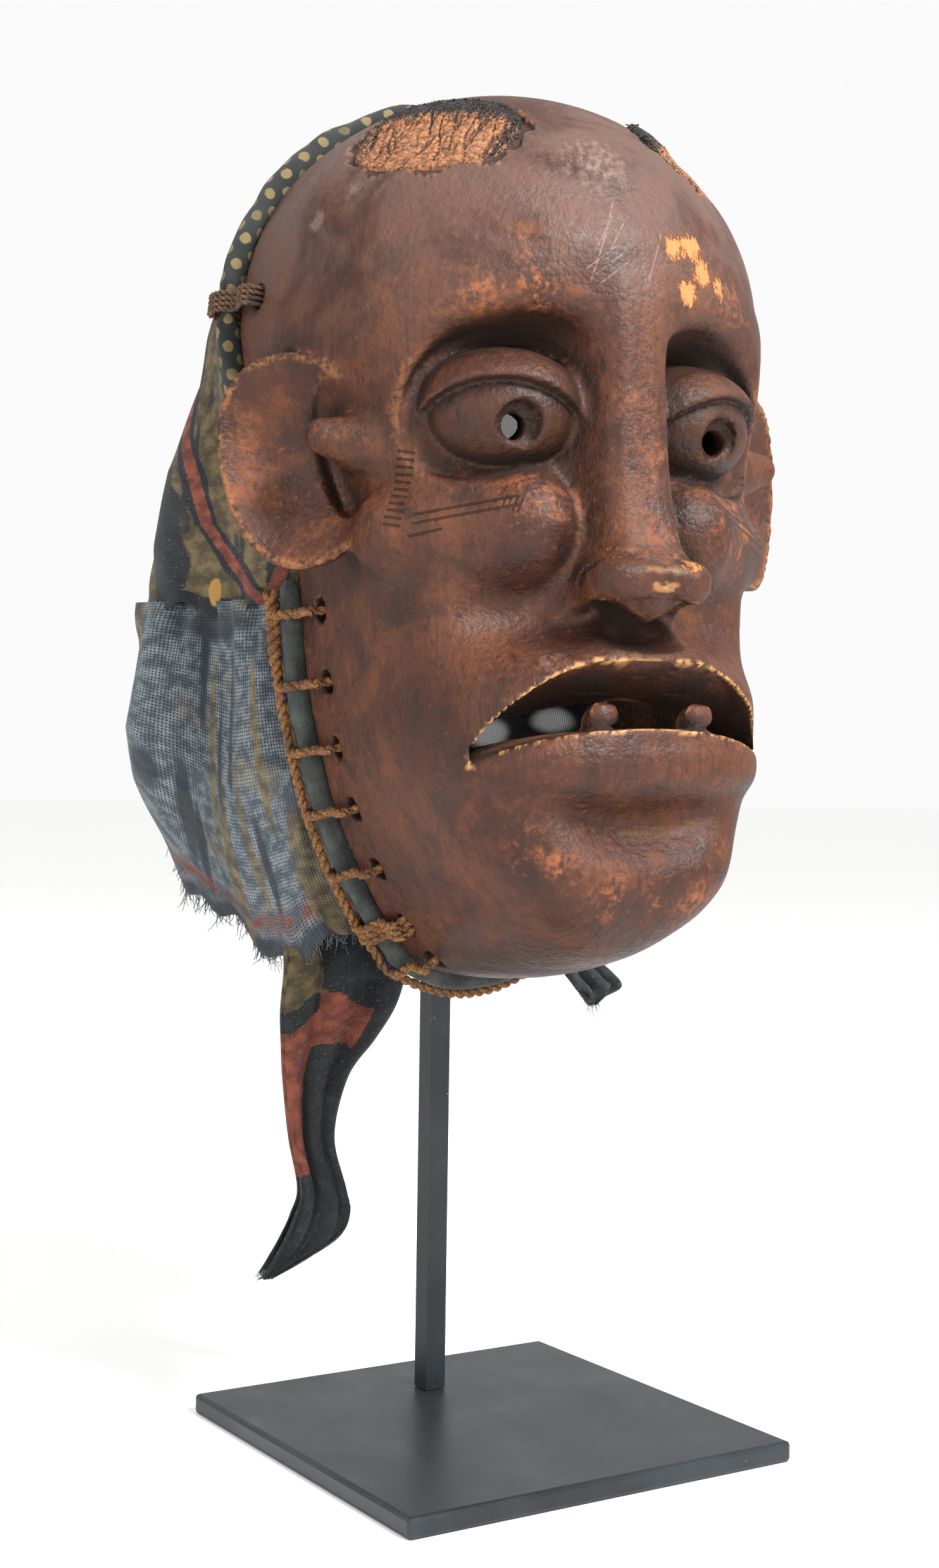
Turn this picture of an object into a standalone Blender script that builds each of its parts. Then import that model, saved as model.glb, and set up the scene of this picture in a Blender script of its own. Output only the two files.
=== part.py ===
"""Carved wooden ceremonial mask with a cloth hood, held up by a steel display stand.

Metres, +Z up. The origin is at the middle of the base plate's underside. The mask looks
along -Y. Its wood, rim and cloth are built in the mask's own frame, which turns with MASK_POSE.
"""
import itertools
import math

import bmesh
import bpy
import numpy as np
from mathutils import Matrix, Vector

# Clearance between neighbouring pieces
GAP = 0.0003

# Steel stand
PLATE_SIDE = 0.150
PLATE_THICK = 0.007
PLATE_EDGE = 0.0014
ROD_SIDE = 0.008
ROD_RIGHT = 0.0024
ROD_BACK = 0.040
ROD_TOP = 0.404
ARM_RADIUS = 0.0032
ARM_CLEAR = 0.0008
# Height at which each arm leaves the rod, and the point inside the mask that it reaches for
ARMS = [(0.188, (0.0, -0.110, 0.188)), (0.3985, (0.0, -0.060, 0.460))]

# How the mask is turned on the stand
MASK_TURN = math.radians(-5.0)
MASK_LEAN = math.radians(1.0)

# Carved wooden shell
RIM_Y = 0.006
WALL = 0.010
EYE_WALL = 0.0095
LIP_WALL = 0.021
LIP_LEVEL = 0.250
CELL = 0.0026
EAR_ROOM = 0.0367
NOSE_ROOM = 0.012
RIM_ROOM = 0.006
CROWN_ROOM = 0.0066
CHIN_ROOM = 0.010
SHELL_FACES = 4300

CROWN_AT = (0.0, -0.0045, 0.377)
CROWN_SIZE = (0.088, 0.0976, 0.0814)
# Height, and the half width of the face there at the rim
SIDE_LINE = [(0.158, 0.004), (0.164, 0.020), (0.175, 0.031), (0.195, 0.0435), (0.216, 0.053),
             (0.239, 0.0595), (0.262, 0.064), (0.285, 0.066), (0.310, 0.068), (0.350, 0.075), (0.377, 0.080)]
# Height, and how far forward the face is there
FRONT_LINE = [(0.158, 0.0), (0.164, -0.045), (0.172, -0.080), (0.182, -0.098), (0.192, -0.1045),
              (0.212, -0.1045), (0.243, -0.107), (0.266, -0.1085), (0.280, -0.096), (0.300, -0.087),
              (0.350, -0.088), (0.377, -0.090)]
# Height, and how square the section is there: 2 is an ellipse
SQUARE_LINE = [(0.158, 2.0), (0.175, 2.6), (0.195, 4.6), (0.215, 4.4), (0.240, 3.3), (0.262, 3.0),
               (0.285, 4.2), (0.350, 4.0), (0.377, 3.0)]
SECTION_BACK = 0.012
CHIN_LEVEL = 0.160
BROW_LEVEL = 0.376

MUZZLE_AT = (0.0, -0.046, 0.245)
MUZZLE_SIZE = (0.058, 0.063, 0.030)
CHEEK_HOLLOW_AT = (0.044, -0.106, 0.281)
CHEEK_HOLLOW_SIZE = (0.028, 0.026, 0.016)
POUCH_FROM = (0.0285, -0.0800, 0.3055)
POUCH_TO = (0.060, -0.0575, 0.304)
POUCH_RADII = (0.0180, 0.0145)

SOCKET_AT = (0.0405, -0.106, 0.346)
SOCKET_SIZE = (0.0315, 0.0345, 0.0255)
# Each eye is turned outwards about its own middle
EYE_AT = (0.0330, -0.0730, 0.3400)
EYE_TURN = math.radians(26.0)
EYE_SIZE = (0.0240, 0.0215, 0.0170)
LID_SIZE = (0.0265, 0.0248, 0.0212)
LID_EDGE = 0.0098
LID_DROP = 0.0035
LID_SLANT = 0.35
EYE_GROOVE_SIZE = (0.0305, 0.0270, 0.0252)
EYE_GROOVE_FLOOR = -0.0080
PUPIL_AT = (0.0362, 0.3352)
PUPIL_MOUTH = 0.0077
PUPIL_BORE = 0.0042
PUPIL_DEPTH = -0.0895

# Height, and how far forward the ridge of the nose is there
NOSE_LINE = [(0.270, -0.116), (0.288, -0.118), (0.300, -0.1105), (0.311, -0.107), (0.345, -0.104),
             (0.375, -0.103), (0.400, -0.096)]
NOSE_HALF = (0.0095, 0.0110)
NOSE_FLARE = 0.34
NOSE_TOP = 0.385
NOSE_BASE = 0.284
WING_AT = (0.0100, -0.1045, 0.2880)
WING_SIZE = (0.0105, 0.0135, 0.0080)
# Wedge under the nose: its point, how its edges rise and its face comes forward, and its depth
SEPTUM_TIP = (-0.1065, 0.2756)
SEPTUM_RISE = 0.58
SEPTUM_LEAN = (1.06, 0.45)
SEPTUM_DEPTH = 0.007
SEPTUM_HALF = 0.0155
SEPTUM_HIGH = 0.0105
NOSTRIL_SCOOP_AT = (0.0, -0.106, 0.2755)
NOSTRIL_SCOOP_SIZE = (0.0165, 0.0105, 0.0085)
NOSTRIL_AT = (0.0090, -0.1035, 0.2815)
NOSTRIL_SIZE = (0.0078, 0.0085, 0.0080)

LOWER_LIP_AT = (0.0, -0.071, 0.2325)
LOWER_LIP_SIZE = (0.0530, 0.0415, 0.0140)
LIP_GROOVE_AT = (0.0, -0.117, 0.2140)
LIP_GROOVE_SIZE = (0.042, 0.0195, 0.0078)
MOUTH_HALF = 0.0515
MOUTH_CORNER = 0.2315
MOUTH_RISE = 0.0345
MOUTH_FLOOR_RISE = 0.0125
MOUTH_SLANT = 0.62
MOUTH_FRONT = (-0.081, -0.112)
TEETH_AT = (-0.0142, 0.0198)
TOOTH_Y = -0.1015
TOOTH_LEVELS = (0.2350, 0.2475)
TOOTH_RADII = (0.0042, 0.0058)

EAR_AT = (0.0883, -0.0390, 0.3280)
EAR_TURN = math.radians(39.0)
EAR_TILT = math.radians(12.0)
EAR_HALF = (0.0235, 0.0340)
EAR_THICK = 0.0062
EAR_DISH = 0.0100
EAR_HOLLOW_AT = (-0.019, -0.004, 0.0)
EAR_HOLLOW_SIZE = (0.0135, 0.014, 0.0235)
TRAGUS_FROM = (-0.030, -0.008, -0.003)
TRAGUS_TO = (-0.0125, 0.0035, 0.004)
TRAGUS_RADII = (0.0120, 0.0032)

# Lacing holes, as heights on the side of the rim
HOLE_RADIUS = 0.0040
HOLE_IN = 0.016
HOLE_HEIGHTS = (0.3847, 0.2840, 0.2605, 0.2390, 0.2186, 0.1985, 0.1797, 0.1670)

# Beds cut in the crown, and the worn patches of hide and hair set in them
HAIR_AT = (0.0442, -0.0521, 0.4314)
HAIR_LONG = (0.567, 0.8115, 0.1413)
HAIR_ACROSS = (-0.661, 0.345, 0.667)
HAIR_HALF = (0.029, 0.0215)
HAIR_POWER = 2.5
HAIR_DEPTH = 0.0026
HAIR_CLEAR = 0.0004
HAIR_RISE = 0.0016
BED_REACH = 0.006
HAIR_RINGS = 3
HAIR_SPOKES = 18

# Rolled cloth round the rim, and the cord that laces the lower roll on
RIM_MIDDLE = 0.300
SEAT = 0.0008
ROLL_RADIUS = 0.0040
ROLL_OUT = 0.0015
ROLL_TOP = 0.2955
BAND_RADIUS = 0.0045
BAND_OUT = 0.0020
BAND_END = 0.3460
BAND_STEPS = 34
JAW_STEPS = 3
CORD_RADIUS = 0.0018
CORD_LEAN = math.radians(25.0)
LASH_RADIUS = 0.0025
LOOP_BENDS = (math.radians(68.0), math.radians(112.0), math.radians(150.0))
LOOP_SLACK = (0.0, 0.0004, 0.0007, 0.0010)

# Cloth hood that hangs behind the rim
CLOTH_THICK = 0.0012
HOOD_OUT = 0.003
SEAM_LEVEL = 0.2875
HEM_FRONT = 0.172
HEM_BACK = 0.232
GAUZE_END = 0.66
SEAM_GAP = 0.018
# Height at the rim, then how far the two guide points and the middle of the back stand out
HOOD_ROWS = [(0.4545, 0.022, 0.024, 0.010, 0.027, 0.027), (0.440, 0.050, 0.031, 0.030, 0.038, 0.038),
             (0.420, 0.075, 0.034, 0.055, 0.048, 0.048), (0.400, 0.088, 0.036, 0.075, 0.058, 0.057),
             (0.385, 0.092, 0.038, 0.088, 0.065, 0.063), (0.365, 0.090, 0.040, 0.098, 0.074, 0.071),
             (0.345, 0.086, 0.042, 0.112, 0.086, 0.082), (0.325, 0.084, 0.042, 0.130, 0.100, 0.094),
             (0.305, 0.084, 0.040, 0.139, 0.111, 0.104), (0.2875, 0.085, 0.038, 0.142, 0.116, 0.111),
             (0.264, 0.088, 0.036, 0.142, 0.120, 0.116), (0.240, 0.092, 0.035, 0.140, 0.122, 0.119),
             (0.216, 0.095, 0.035, 0.134, 0.122, 0.121), (0.194, 0.098, 0.035, 0.129, 0.121, 0.121),
             (0.172, 0.100, 0.035, 0.125, 0.120, 0.121)]
# Height at the rim, and how far back the hood starts there, clear of what is tied to the rim
HOOD_EDGE = [(0.172, 0.0202), (0.295, 0.0202), (0.305, 0.0095), (0.335, 0.0095), (0.346, 0.0176), (0.374, 0.0176),
             (0.3805, 0.0222), (0.390, 0.0222), (0.397, 0.0176), (0.4545, 0.0176)]
HOOD_COLUMNS = 12
FOLDS = 3.5
FOLD_DEPTH = 0.0042

# Gathered tail of the cloth at the right corner, tucked up behind the hem, and the short one at the left
TAIL_Y = 0.0245
TAIL_THICK = 0.0028
# Height, where the right and left edges are there, and how far behind its plain place the bundle lies
TAIL_ROWS = [(0.1880, -0.0530, -0.0240, 0.0140), (0.1780, -0.0560, -0.0200, 0.0130),
             (0.1690, -0.0600, -0.0150, 0.0105), (0.1610, -0.0620, -0.0140, 0.0070),
             (0.1490, -0.0650, -0.0195, 0.0030), (0.1380, -0.0655, -0.0285, 0.0010),
             (0.1255, -0.0650, -0.0400, 0.0), (0.1050, -0.0625, -0.0460, 0.0), (0.0870, -0.0590, -0.0420, 0.0),
             (0.0780, -0.0620, -0.0400, 0.0), (0.0700, -0.0665, -0.0430, 0.0), (0.0640, -0.0705, -0.0530, 0.0),
             (0.0590, -0.0735, -0.0680, 0.0)]
TIP_ROWS = [(0.1620, 0.0440, 0.0590, 0.0), (0.1560, 0.0475, 0.0680, 0.0), (0.1510, 0.0520, 0.0705, 0.0),
            (0.1460, 0.0560, 0.0610, 0.0)]
TAIL_SIDES = 12


def blend(a, b, k):
    """Join two solids with a soft fillet of about k."""
    h = np.clip(0.5 + 0.5 * (b - a) / k, 0.0, 1.0)
    return b + (a - b) * h - k * h * (1.0 - h)


def overlap(a, b, k):
    """Keep what is in both solids."""
    return -blend(-a, -b, k)


def carve(a, b, k):
    """Take solid b out of solid a."""
    return -blend(-a, b, k)


def ovoid(p, centre, radii, power=2.0):
    """Distance to an ellipsoid, or to a squarer egg where power is over 2."""
    q = [np.abs(p[i] - centre[i]) / radii[i] + 1e-9 for i in range(3)]
    w = q if power == 2.0 else [v ** (power - 1.0) for v in q]
    k = (w[0] * q[0] + w[1] * q[1] + w[2] * q[2]) ** (1.0 / power)
    steep = np.sqrt(sum((w[i] / radii[i]) ** 2 for i in range(3))) / k ** (power - 1.0)
    return (k - 1.0) / steep


def taper(p, start, end, radius_start, radius_end):
    """Distance to a round bar that runs from start to end."""
    way = [end[i] - start[i] for i in range(3)]
    size = sum(v * v for v in way)
    h = np.clip(sum((p[i] - start[i]) * way[i] for i in range(3)) / size, 0.0, 1.0)
    gap = sum((p[i] - start[i] - h * way[i]) ** 2 for i in range(3))
    return np.sqrt(gap) - (radius_start + (radius_end - radius_start) * h)


def line_at(z, knots):
    """Read a smooth line through knots of (height, value)."""
    zs, vs = np.array(knots).T
    slope = np.gradient(vs, zs)
    i = np.clip(np.searchsorted(zs, z, side="right") - 1, 0, len(zs) - 2)
    h = zs[i + 1] - zs[i]
    t = np.clip((z - zs[i]) / h, 0.0, 1.0)
    rise = t * t * (3.0 - 2.0 * t)
    lean = h * t * (1.0 - t) * ((1.0 - t) * slope[i] - t * slope[i + 1])
    return vs[i] + (vs[i + 1] - vs[i]) * rise + lean


def face_block(p):
    """Face and jaw, from their side, front and squareness lines."""
    low, high = SIDE_LINE[0][0], SIDE_LINE[-1][0]
    z = np.clip(p[2], low, high)
    step = 0.0005
    wide, deep = line_at(z, SIDE_LINE), SECTION_BACK - line_at(z, FRONT_LINE)
    power = line_at(z, SQUARE_LINE)
    wider = (line_at(z + step, SIDE_LINE) - wide) / step
    deeper = (SECTION_BACK - line_at(z + step, FRONT_LINE) - deep) / step
    a = np.abs(p[0]) / wide + 1e-9
    b = np.abs(p[1] - SECTION_BACK) / deep + 1e-9
    an, bn = a ** power, b ** power
    k = (an + bn) ** (1.0 / power)
    scale = k / (an + bn)
    steep_x = an / a / wide * scale
    steep_y = bn / b / deep * scale
    steep_z = (an * wider / wide + bn * deeper / deep) * scale
    f = (k - 1.0) / np.sqrt(steep_x ** 2 + steep_y ** 2 + steep_z ** 2)
    f = overlap(np.clip(f, -0.06, 0.06), CHIN_LEVEL - p[2], 0.004)
    return overlap(f, p[2] - BROW_LEVEL, 0.006)


def head_form(p):
    """The plain head: crown, face, muzzle, eye sockets and cheek pouches."""
    f = blend(ovoid(p, CROWN_AT, CROWN_SIZE), face_block(p), 0.010)
    f = blend(f, ovoid(p, MUZZLE_AT, MUZZLE_SIZE, 2.6), 0.012)
    f = carve(f, ovoid(p, CHEEK_HOLLOW_AT, CHEEK_HOLLOW_SIZE), 0.016)
    f = carve(f, ovoid(p, SOCKET_AT, SOCKET_SIZE, 2.8), 0.007)
    e = eye_place(p)
    groove = overlap(ovoid(e, (0, 0, 0), EYE_GROOVE_SIZE, 2.3), e[1] - EYE_GROOVE_FLOOR, 0.003)
    f = carve(f, groove, 0.004)
    f = blend(f, taper(p, POUCH_FROM, POUCH_TO, *POUCH_RADII), 0.006)
    lift = 0.010 * (p[0] / 0.040) ** 2
    groove = ovoid([p[0], p[1], p[2] - lift], LIP_GROOVE_AT, LIP_GROOVE_SIZE)
    return carve(f, groove, 0.010)


def eye_place(p):
    """Place seen from an eye: along its slit, back from its front, and up."""
    x, y = p[0] - EYE_AT[0], p[1] - EYE_AT[1]
    c, s = math.cos(EYE_TURN), math.sin(EYE_TURN)
    return [x * c + y * s, y * c - x * s, p[2] - EYE_AT[2]]


def upper_lid(e):
    """Heavy lid, cut off below along a curved edge."""
    edge = LID_EDGE - LID_DROP * (e[0] / 0.0213) ** 2 - LID_SLANT * (e[1] + 0.023)
    return overlap(ovoid(e, (0, 0, 0), LID_SIZE, 2.2), edge - e[2], 0.0008)


def nose(p):
    """Flat-topped ridge and the two wings."""
    front = line_at(p[2], NOSE_LINE)
    half = NOSE_HALF[0] + (NOSE_HALF[1] - NOSE_HALF[0]) * np.clip((0.345 - p[2]) / 0.05, 0.0, 1.0)
    side = (p[0] - half - NOSE_FLARE * (p[1] - front)) * 0.94
    f = overlap(side, front - p[1], 0.006)
    f = overlap(f, NOSE_BASE - p[2] - 0.45 * (p[1] - WING_AT[1]), 0.003)
    f = overlap(f, p[2] - NOSE_TOP, 0.010)
    f = overlap(f, p[1] + 0.060, 0.004)
    return blend(f, ovoid(p, WING_AT, WING_SIZE, 2.3), 0.003)


def septum(p):
    """Three-cornered wedge that hangs under the tip of the nose."""
    drop = p[2] - SEPTUM_TIP[1]
    face = SEPTUM_TIP[0] - SEPTUM_LEAN[0] * drop + SEPTUM_LEAN[1] * p[0]
    f = overlap(SEPTUM_RISE * p[0] - drop, face - p[1], 0.0008)
    f = overlap(f, p[1] - face - SEPTUM_DEPTH, 0.002)
    f = overlap(f, p[0] - SEPTUM_HALF, 0.002)
    return overlap(f, drop - SEPTUM_HIGH, 0.002) * 0.75


def nostrils(p):
    """One wide scoop under the nose that leads into two round nostrils."""
    scoop = ovoid(p, NOSTRIL_SCOOP_AT, NOSTRIL_SCOOP_SIZE, 2.3)
    return blend(scoop, ovoid(p, NOSTRIL_AT, NOSTRIL_SIZE), 0.003)


def mouth_slot(p):
    """Open mouth: an arched roof that slopes inwards over a nearly straight floor."""
    run = np.clip(1.0 - (p[0] / MOUTH_HALF) ** 2, 0.0, 1.0)
    front = MOUTH_FRONT[0] + (MOUTH_FRONT[1] - MOUTH_FRONT[0]) * run
    roof = MOUTH_CORNER + MOUTH_RISE * run ** 0.52
    roof = roof - MOUTH_SLANT * np.clip(p[1] - front, 0.0, LIP_WALL + 0.001) * np.sqrt(run)
    floor = MOUTH_CORNER + MOUTH_FLOOR_RISE * run ** 0.55
    f = overlap(p[2] - roof, floor - p[2], 0.001)
    f = overlap(f, p[0] - MOUTH_HALF + 0.0005, 0.001)
    return overlap(f, p[1] + 0.020, 0.001)


def ear(p):
    """Cupped C-shaped ear with a cone-shaped tragus."""
    turn, tilt = (math.cos(EAR_TURN), math.sin(EAR_TURN)), (math.cos(EAR_TILT), math.sin(EAR_TILT))
    dx, dy, dz = p[0] - EAR_AT[0], p[1] - EAR_AT[1], p[2] - EAR_AT[2]
    out = dx * turn[0] + dy * turn[1]
    n = dx * turn[1] - dy * turn[0]
    u, v = out * tilt[0] - dz * tilt[1], out * tilt[1] + dz * tilt[0]
    ring = ((np.abs(u) / EAR_HALF[0]) ** 2.3 + (np.abs(v) / EAR_HALF[1]) ** 2.3 + 1e-9) ** (1 / 2.3)
    face = -EAR_DISH * np.clip(1.0 - ring * ring, 0.0, 1.0)
    f = overlap((ring - 1.0) * EAR_HALF[0], n - face, 0.002)
    f = overlap(f, face - EAR_THICK - n, 0.002)
    hollow = ovoid([u, n, v], EAR_HOLLOW_AT, EAR_HOLLOW_SIZE, 2.2)
    f = carve(f, hollow, 0.002)
    root = ovoid([u, n, v], (-0.024, -0.012, 0.0), (0.012, 0.010, 0.033), 2.3)
    f = blend(f, overlap(root, -hollow, 0.002), 0.003)
    tragus = taper([u, n, v], TRAGUS_FROM, TRAGUS_TO, *TRAGUS_RADII)
    return blend(f, tragus, 0.003)


def rim_table():
    """Reach of the wooden rim's outer edge from its middle, at even angles from straight up."""
    angles = np.linspace(-0.02, math.pi + 0.02, 400)
    reach = []
    for angle in angles:
        r = np.linspace(0.05, 0.20, 401)
        depth = np.full_like(r, RIM_Y - 0.003)
        f = head_form([np.abs(r * math.sin(angle)), depth, RIM_MIDDLE + r * math.cos(angle)])
        reach.append(float(np.interp(0.0, f, r)))
    return angles, np.array(reach)


def rim_point(angle):
    """Point of the wooden rim's outer edge at an angle from straight up, and its outward normal."""
    turn = abs(math.remainder(angle, 2 * math.pi))
    side = math.copysign(1.0, math.remainder(angle, 2 * math.pi))
    r, ahead, behind = [float(np.interp(turn + d, *RIM)) for d in (0.0, 0.01, -0.01)]
    way, across = Vector((math.sin(turn), math.cos(turn))), Vector((math.cos(turn), -math.sin(turn)))
    normal = (way - across * ((ahead - behind) / 0.02 / r)).normalized()
    return (Vector((side * way.x * r, 0.0, RIM_MIDDLE + way.y * r)),
            Vector((side * normal.x, 0.0, normal.y)))


def rim_angle(height, side):
    """Angle of the rim's outer edge at a height, on side -1 (right of the mask) or 1."""
    angles, reach = RIM
    return side * float(np.interp(-height, -(RIM_MIDDLE + reach * np.cos(angles)), angles))


def lacing_holes():
    """Middle and inward direction of each lacing hole, on both sides."""
    found = []
    for side in (-1, 1):
        for height in HOLE_HEIGHTS:
            point, normal = rim_point(rim_angle(height, side))
            found.append((point, normal))
    return found


def mask_field(x, y, z, holes):
    """The whole carved shell."""
    p = [np.abs(x), y, z]
    form = head_form(p)
    e = eye_place(p)
    eye = ovoid(e, (0, 0, 0), EYE_SIZE)
    f = blend(form, eye, 0.001)
    f = blend(f, upper_lid(e), 0.001)
    f = blend(f, ovoid(p, LOWER_LIP_AT, LOWER_LIP_SIZE, 2.6), 0.004)
    f = blend(f, nose(p), 0.004)
    f = carve(f, nostrils(p), 0.002)
    f = blend(f, septum(p), 0.0012)
    f = carve(f, mouth_slot(p), 0.0008)
    f = blend(f, ear(p), 0.004)
    lips = (LIP_WALL - WALL) * np.exp(-((z - LIP_LEVEL) / 0.024) ** 2) * np.clip((-0.05 - y) / 0.03, 0.0, 1.0)
    hollow = blend(form + WALL + lips, eye + EYE_WALL, 0.004)
    f = overlap(f, -hollow, 0.003)
    for across in TEETH_AT:
        low, high = [(across, TOOTH_Y, level) for level in TOOTH_LEVELS]
        f = blend(f, taper([x, y, z], low, high, *TOOTH_RADII), 0.0008)
    cone = np.interp(y, (PUPIL_DEPTH - 0.006, PUPIL_DEPTH, PUPIL_DEPTH + 0.0015), (PUPIL_MOUTH, 0.0068, PUPIL_BORE))
    bore = np.hypot(p[0] - PUPIL_AT[0], z - PUPIL_AT[1]) - cone
    f = overlap(f, -np.maximum(bore, y + 0.04), 0.0006)
    for point, normal in holes:
        start = point + normal * 0.010
        end = point - normal * 0.020
        for spot in (start, end):
            spot.y = RIM_Y - HOLE_IN
        f = overlap(f, -taper([x, y, z], start, end, HOLE_RADIUS, HOLE_RADIUS), 0.0006)
    return overlap(f, y - RIM_Y, 0.002)


def skin_mesh(field, low, high, step):
    """Closed net of triangles over the surface where the field is nought."""
    axes = [np.arange(low[i], high[i] + step, step) for i in range(3)]
    count = [len(a) for a in axes]
    value = np.empty(count)
    for i in range(0, count[0], 16):
        block = np.meshgrid(axes[0][i:i + 16], axes[1], axes[2], indexing="ij")
        value[i:i + 16] = field(*block)
    least = 0.04 * step
    value = np.where(value < 0.0, np.minimum(value, -least), np.maximum(value, least))
    strides = np.array([count[1] * count[2], count[2], 1])
    value = value.ravel()
    cells = np.indices([n - 1 for n in count]).reshape(3, -1).T @ strides
    corners = np.array([a * strides[0] + b * strides[1] + c for a in (0, 1) for b in (0, 1) for c in (0, 1)])
    inside = value[cells[:, None] + corners] < 0
    mixed = inside.any(axis=1) & ~inside.all(axis=1)
    cells = cells[mixed]
    pieces = []
    for order in itertools.permutations(range(3)):
        steps = np.cumsum([0] + [strides[a] for a in order])
        tet = cells[:, None] + steps
        low_in = value[tet] < 0
        code = low_in @ np.array([1, 2, 4, 8])
        for mask in range(1, 15):
            at = tet[code == mask]
            if not len(at):
                continue
            ins = [k for k in range(4) if mask >> k & 1]
            outs = [k for k in range(4) if k not in ins]
            if len(ins) == 1:
                tris = [[(ins[0], o) for o in outs]]
            elif len(ins) == 3:
                tris = [[(i, outs[0]) for i in ins]]
            else:
                (a, b), (c, d) = ins, outs
                tris = [[(a, c), (a, d), (b, d)], [(a, c), (b, d), (b, c)]]
            for tri in tris:
                edges = [np.sort(at[:, list(pair)], axis=1) for pair in tri]
                keys = np.stack([e[:, 0] * len(value) + e[:, 1] for e in edges], axis=1)
                pieces.append(keys)
    keys = np.concatenate(pieces)
    names, faces = np.unique(keys, return_inverse=True)
    a, b = names // len(value), names % len(value)
    part = value[a] / (value[a] - value[b])
    spot = [np.stack([n // strides[0], n // strides[1] % count[1], n % count[2]], axis=1) for n in (a, b)]
    verts = np.array(low) + (spot[0] + (spot[1] - spot[0]) * part[:, None]) * step
    return verts, faces.reshape(-1, 3)


def paint(name, colour, roughness, metallic=0.0):
    """Plain material of one finish."""
    material = bpy.data.materials.new(name)
    material.use_nodes = True
    shader = material.node_tree.nodes["Principled BSDF"]
    shader.inputs["Base Color"].default_value = (*colour, 1.0)
    shader.inputs["Roughness"].default_value = roughness
    shader.inputs["Metallic"].default_value = metallic
    return material


def add_object(name, mesh, material, parent=None):
    """Put a mesh in the model's collection as one named piece."""
    piece = bpy.data.objects.new(name, mesh)
    bpy.data.collections[MODEL].objects.link(piece)
    mesh.materials.clear()
    mesh.materials.append(material)
    piece.parent = parent
    return piece


def add_net(name, verts, faces, material, parent=None):
    """Piece from computed points and faces."""
    mesh = face_out(name, verts, faces.tolist())
    mesh.shade_smooth()
    return add_object(name, mesh, material, parent)


def tube_mesh(name, points, radii, sides=1):
    """Closed mesh of a round tube along points."""
    curve = bpy.data.curves.new(name, "CURVE")
    curve.dimensions = "3D"
    curve.bevel_depth = 1.0
    curve.bevel_resolution = sides
    curve.use_fill_caps = True
    spline = curve.splines.new("POLY")
    spline.points.add(len(points) - 1)
    for point, spot, radius in zip(spline.points, points, radii):
        point.co = (*spot, 1.0)
        point.radius = radius
    guide = bpy.data.objects.new(name, curve)
    bpy.context.scene.collection.objects.link(guide)
    bpy.context.view_layer.update()
    graph = bpy.context.evaluated_depsgraph_get()
    mesh = bpy.data.meshes.new_from_object(guide.evaluated_get(graph))
    bpy.data.objects.remove(guide)
    bpy.data.curves.remove(curve)
    work = bmesh.new()
    work.from_mesh(mesh)
    bmesh.ops.remove_doubles(work, verts=work.verts, dist=0.00001)
    bmesh.ops.recalc_face_normals(work, faces=work.faces)
    work.to_mesh(mesh)
    work.free()
    mesh.name = name
    return mesh


def box_mesh(name, size, middle):
    """Box of a size about its middle."""
    work = bmesh.new()
    bmesh.ops.create_cube(work, size=1.0)
    bmesh.ops.scale(work, vec=size, verts=work.verts)
    bmesh.ops.translate(work, vec=middle, verts=work.verts)
    mesh = bpy.data.meshes.new(name)
    work.to_mesh(mesh)
    work.free()
    return mesh


def add_cutter(name, mesh, parent=None):
    """Helper shape that is joined to or taken from a piece."""
    cutter = bpy.data.objects.new(name, mesh)
    bpy.data.collections[CUTTERS].objects.link(cutter)
    cutter.hide_render = True
    cutter.display_type = "WIRE"
    cutter.parent = parent
    return cutter


def join(piece, cutter, way="UNION"):
    """Boolean of a piece with a helper shape."""
    step = piece.modifiers.new(way.title() + " " + cutter.name, "BOOLEAN")
    step.operation = way
    step.solver = "EXACT"
    step.object = cutter
    return step


MODEL = "ceremonial_mask"
CUTTERS = "cutters"


def clear_scene():
    """Start from an empty scene with the two collections."""
    for item in list(bpy.data.objects):
        bpy.data.objects.remove(item)
    for name in (MODEL, CUTTERS):
        group = bpy.data.collections.new(name)
        bpy.context.scene.collection.children.link(group)


def mask_pose():
    """Empty that turns and leans everything that hangs from the stand."""
    empty = bpy.data.objects.new("mask_pose", None)
    bpy.data.collections[MODEL].objects.link(empty)
    across = Vector((math.cos(MASK_TURN) * math.cos(MASK_LEAN),
                     math.sin(MASK_TURN) * math.cos(MASK_LEAN), math.sin(MASK_LEAN)))
    back = Vector((-math.sin(MASK_TURN), math.cos(MASK_TURN), 0.0))
    empty.matrix_world = Matrix((across, back, across.cross(back))).transposed().to_4x4()
    return empty


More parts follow.
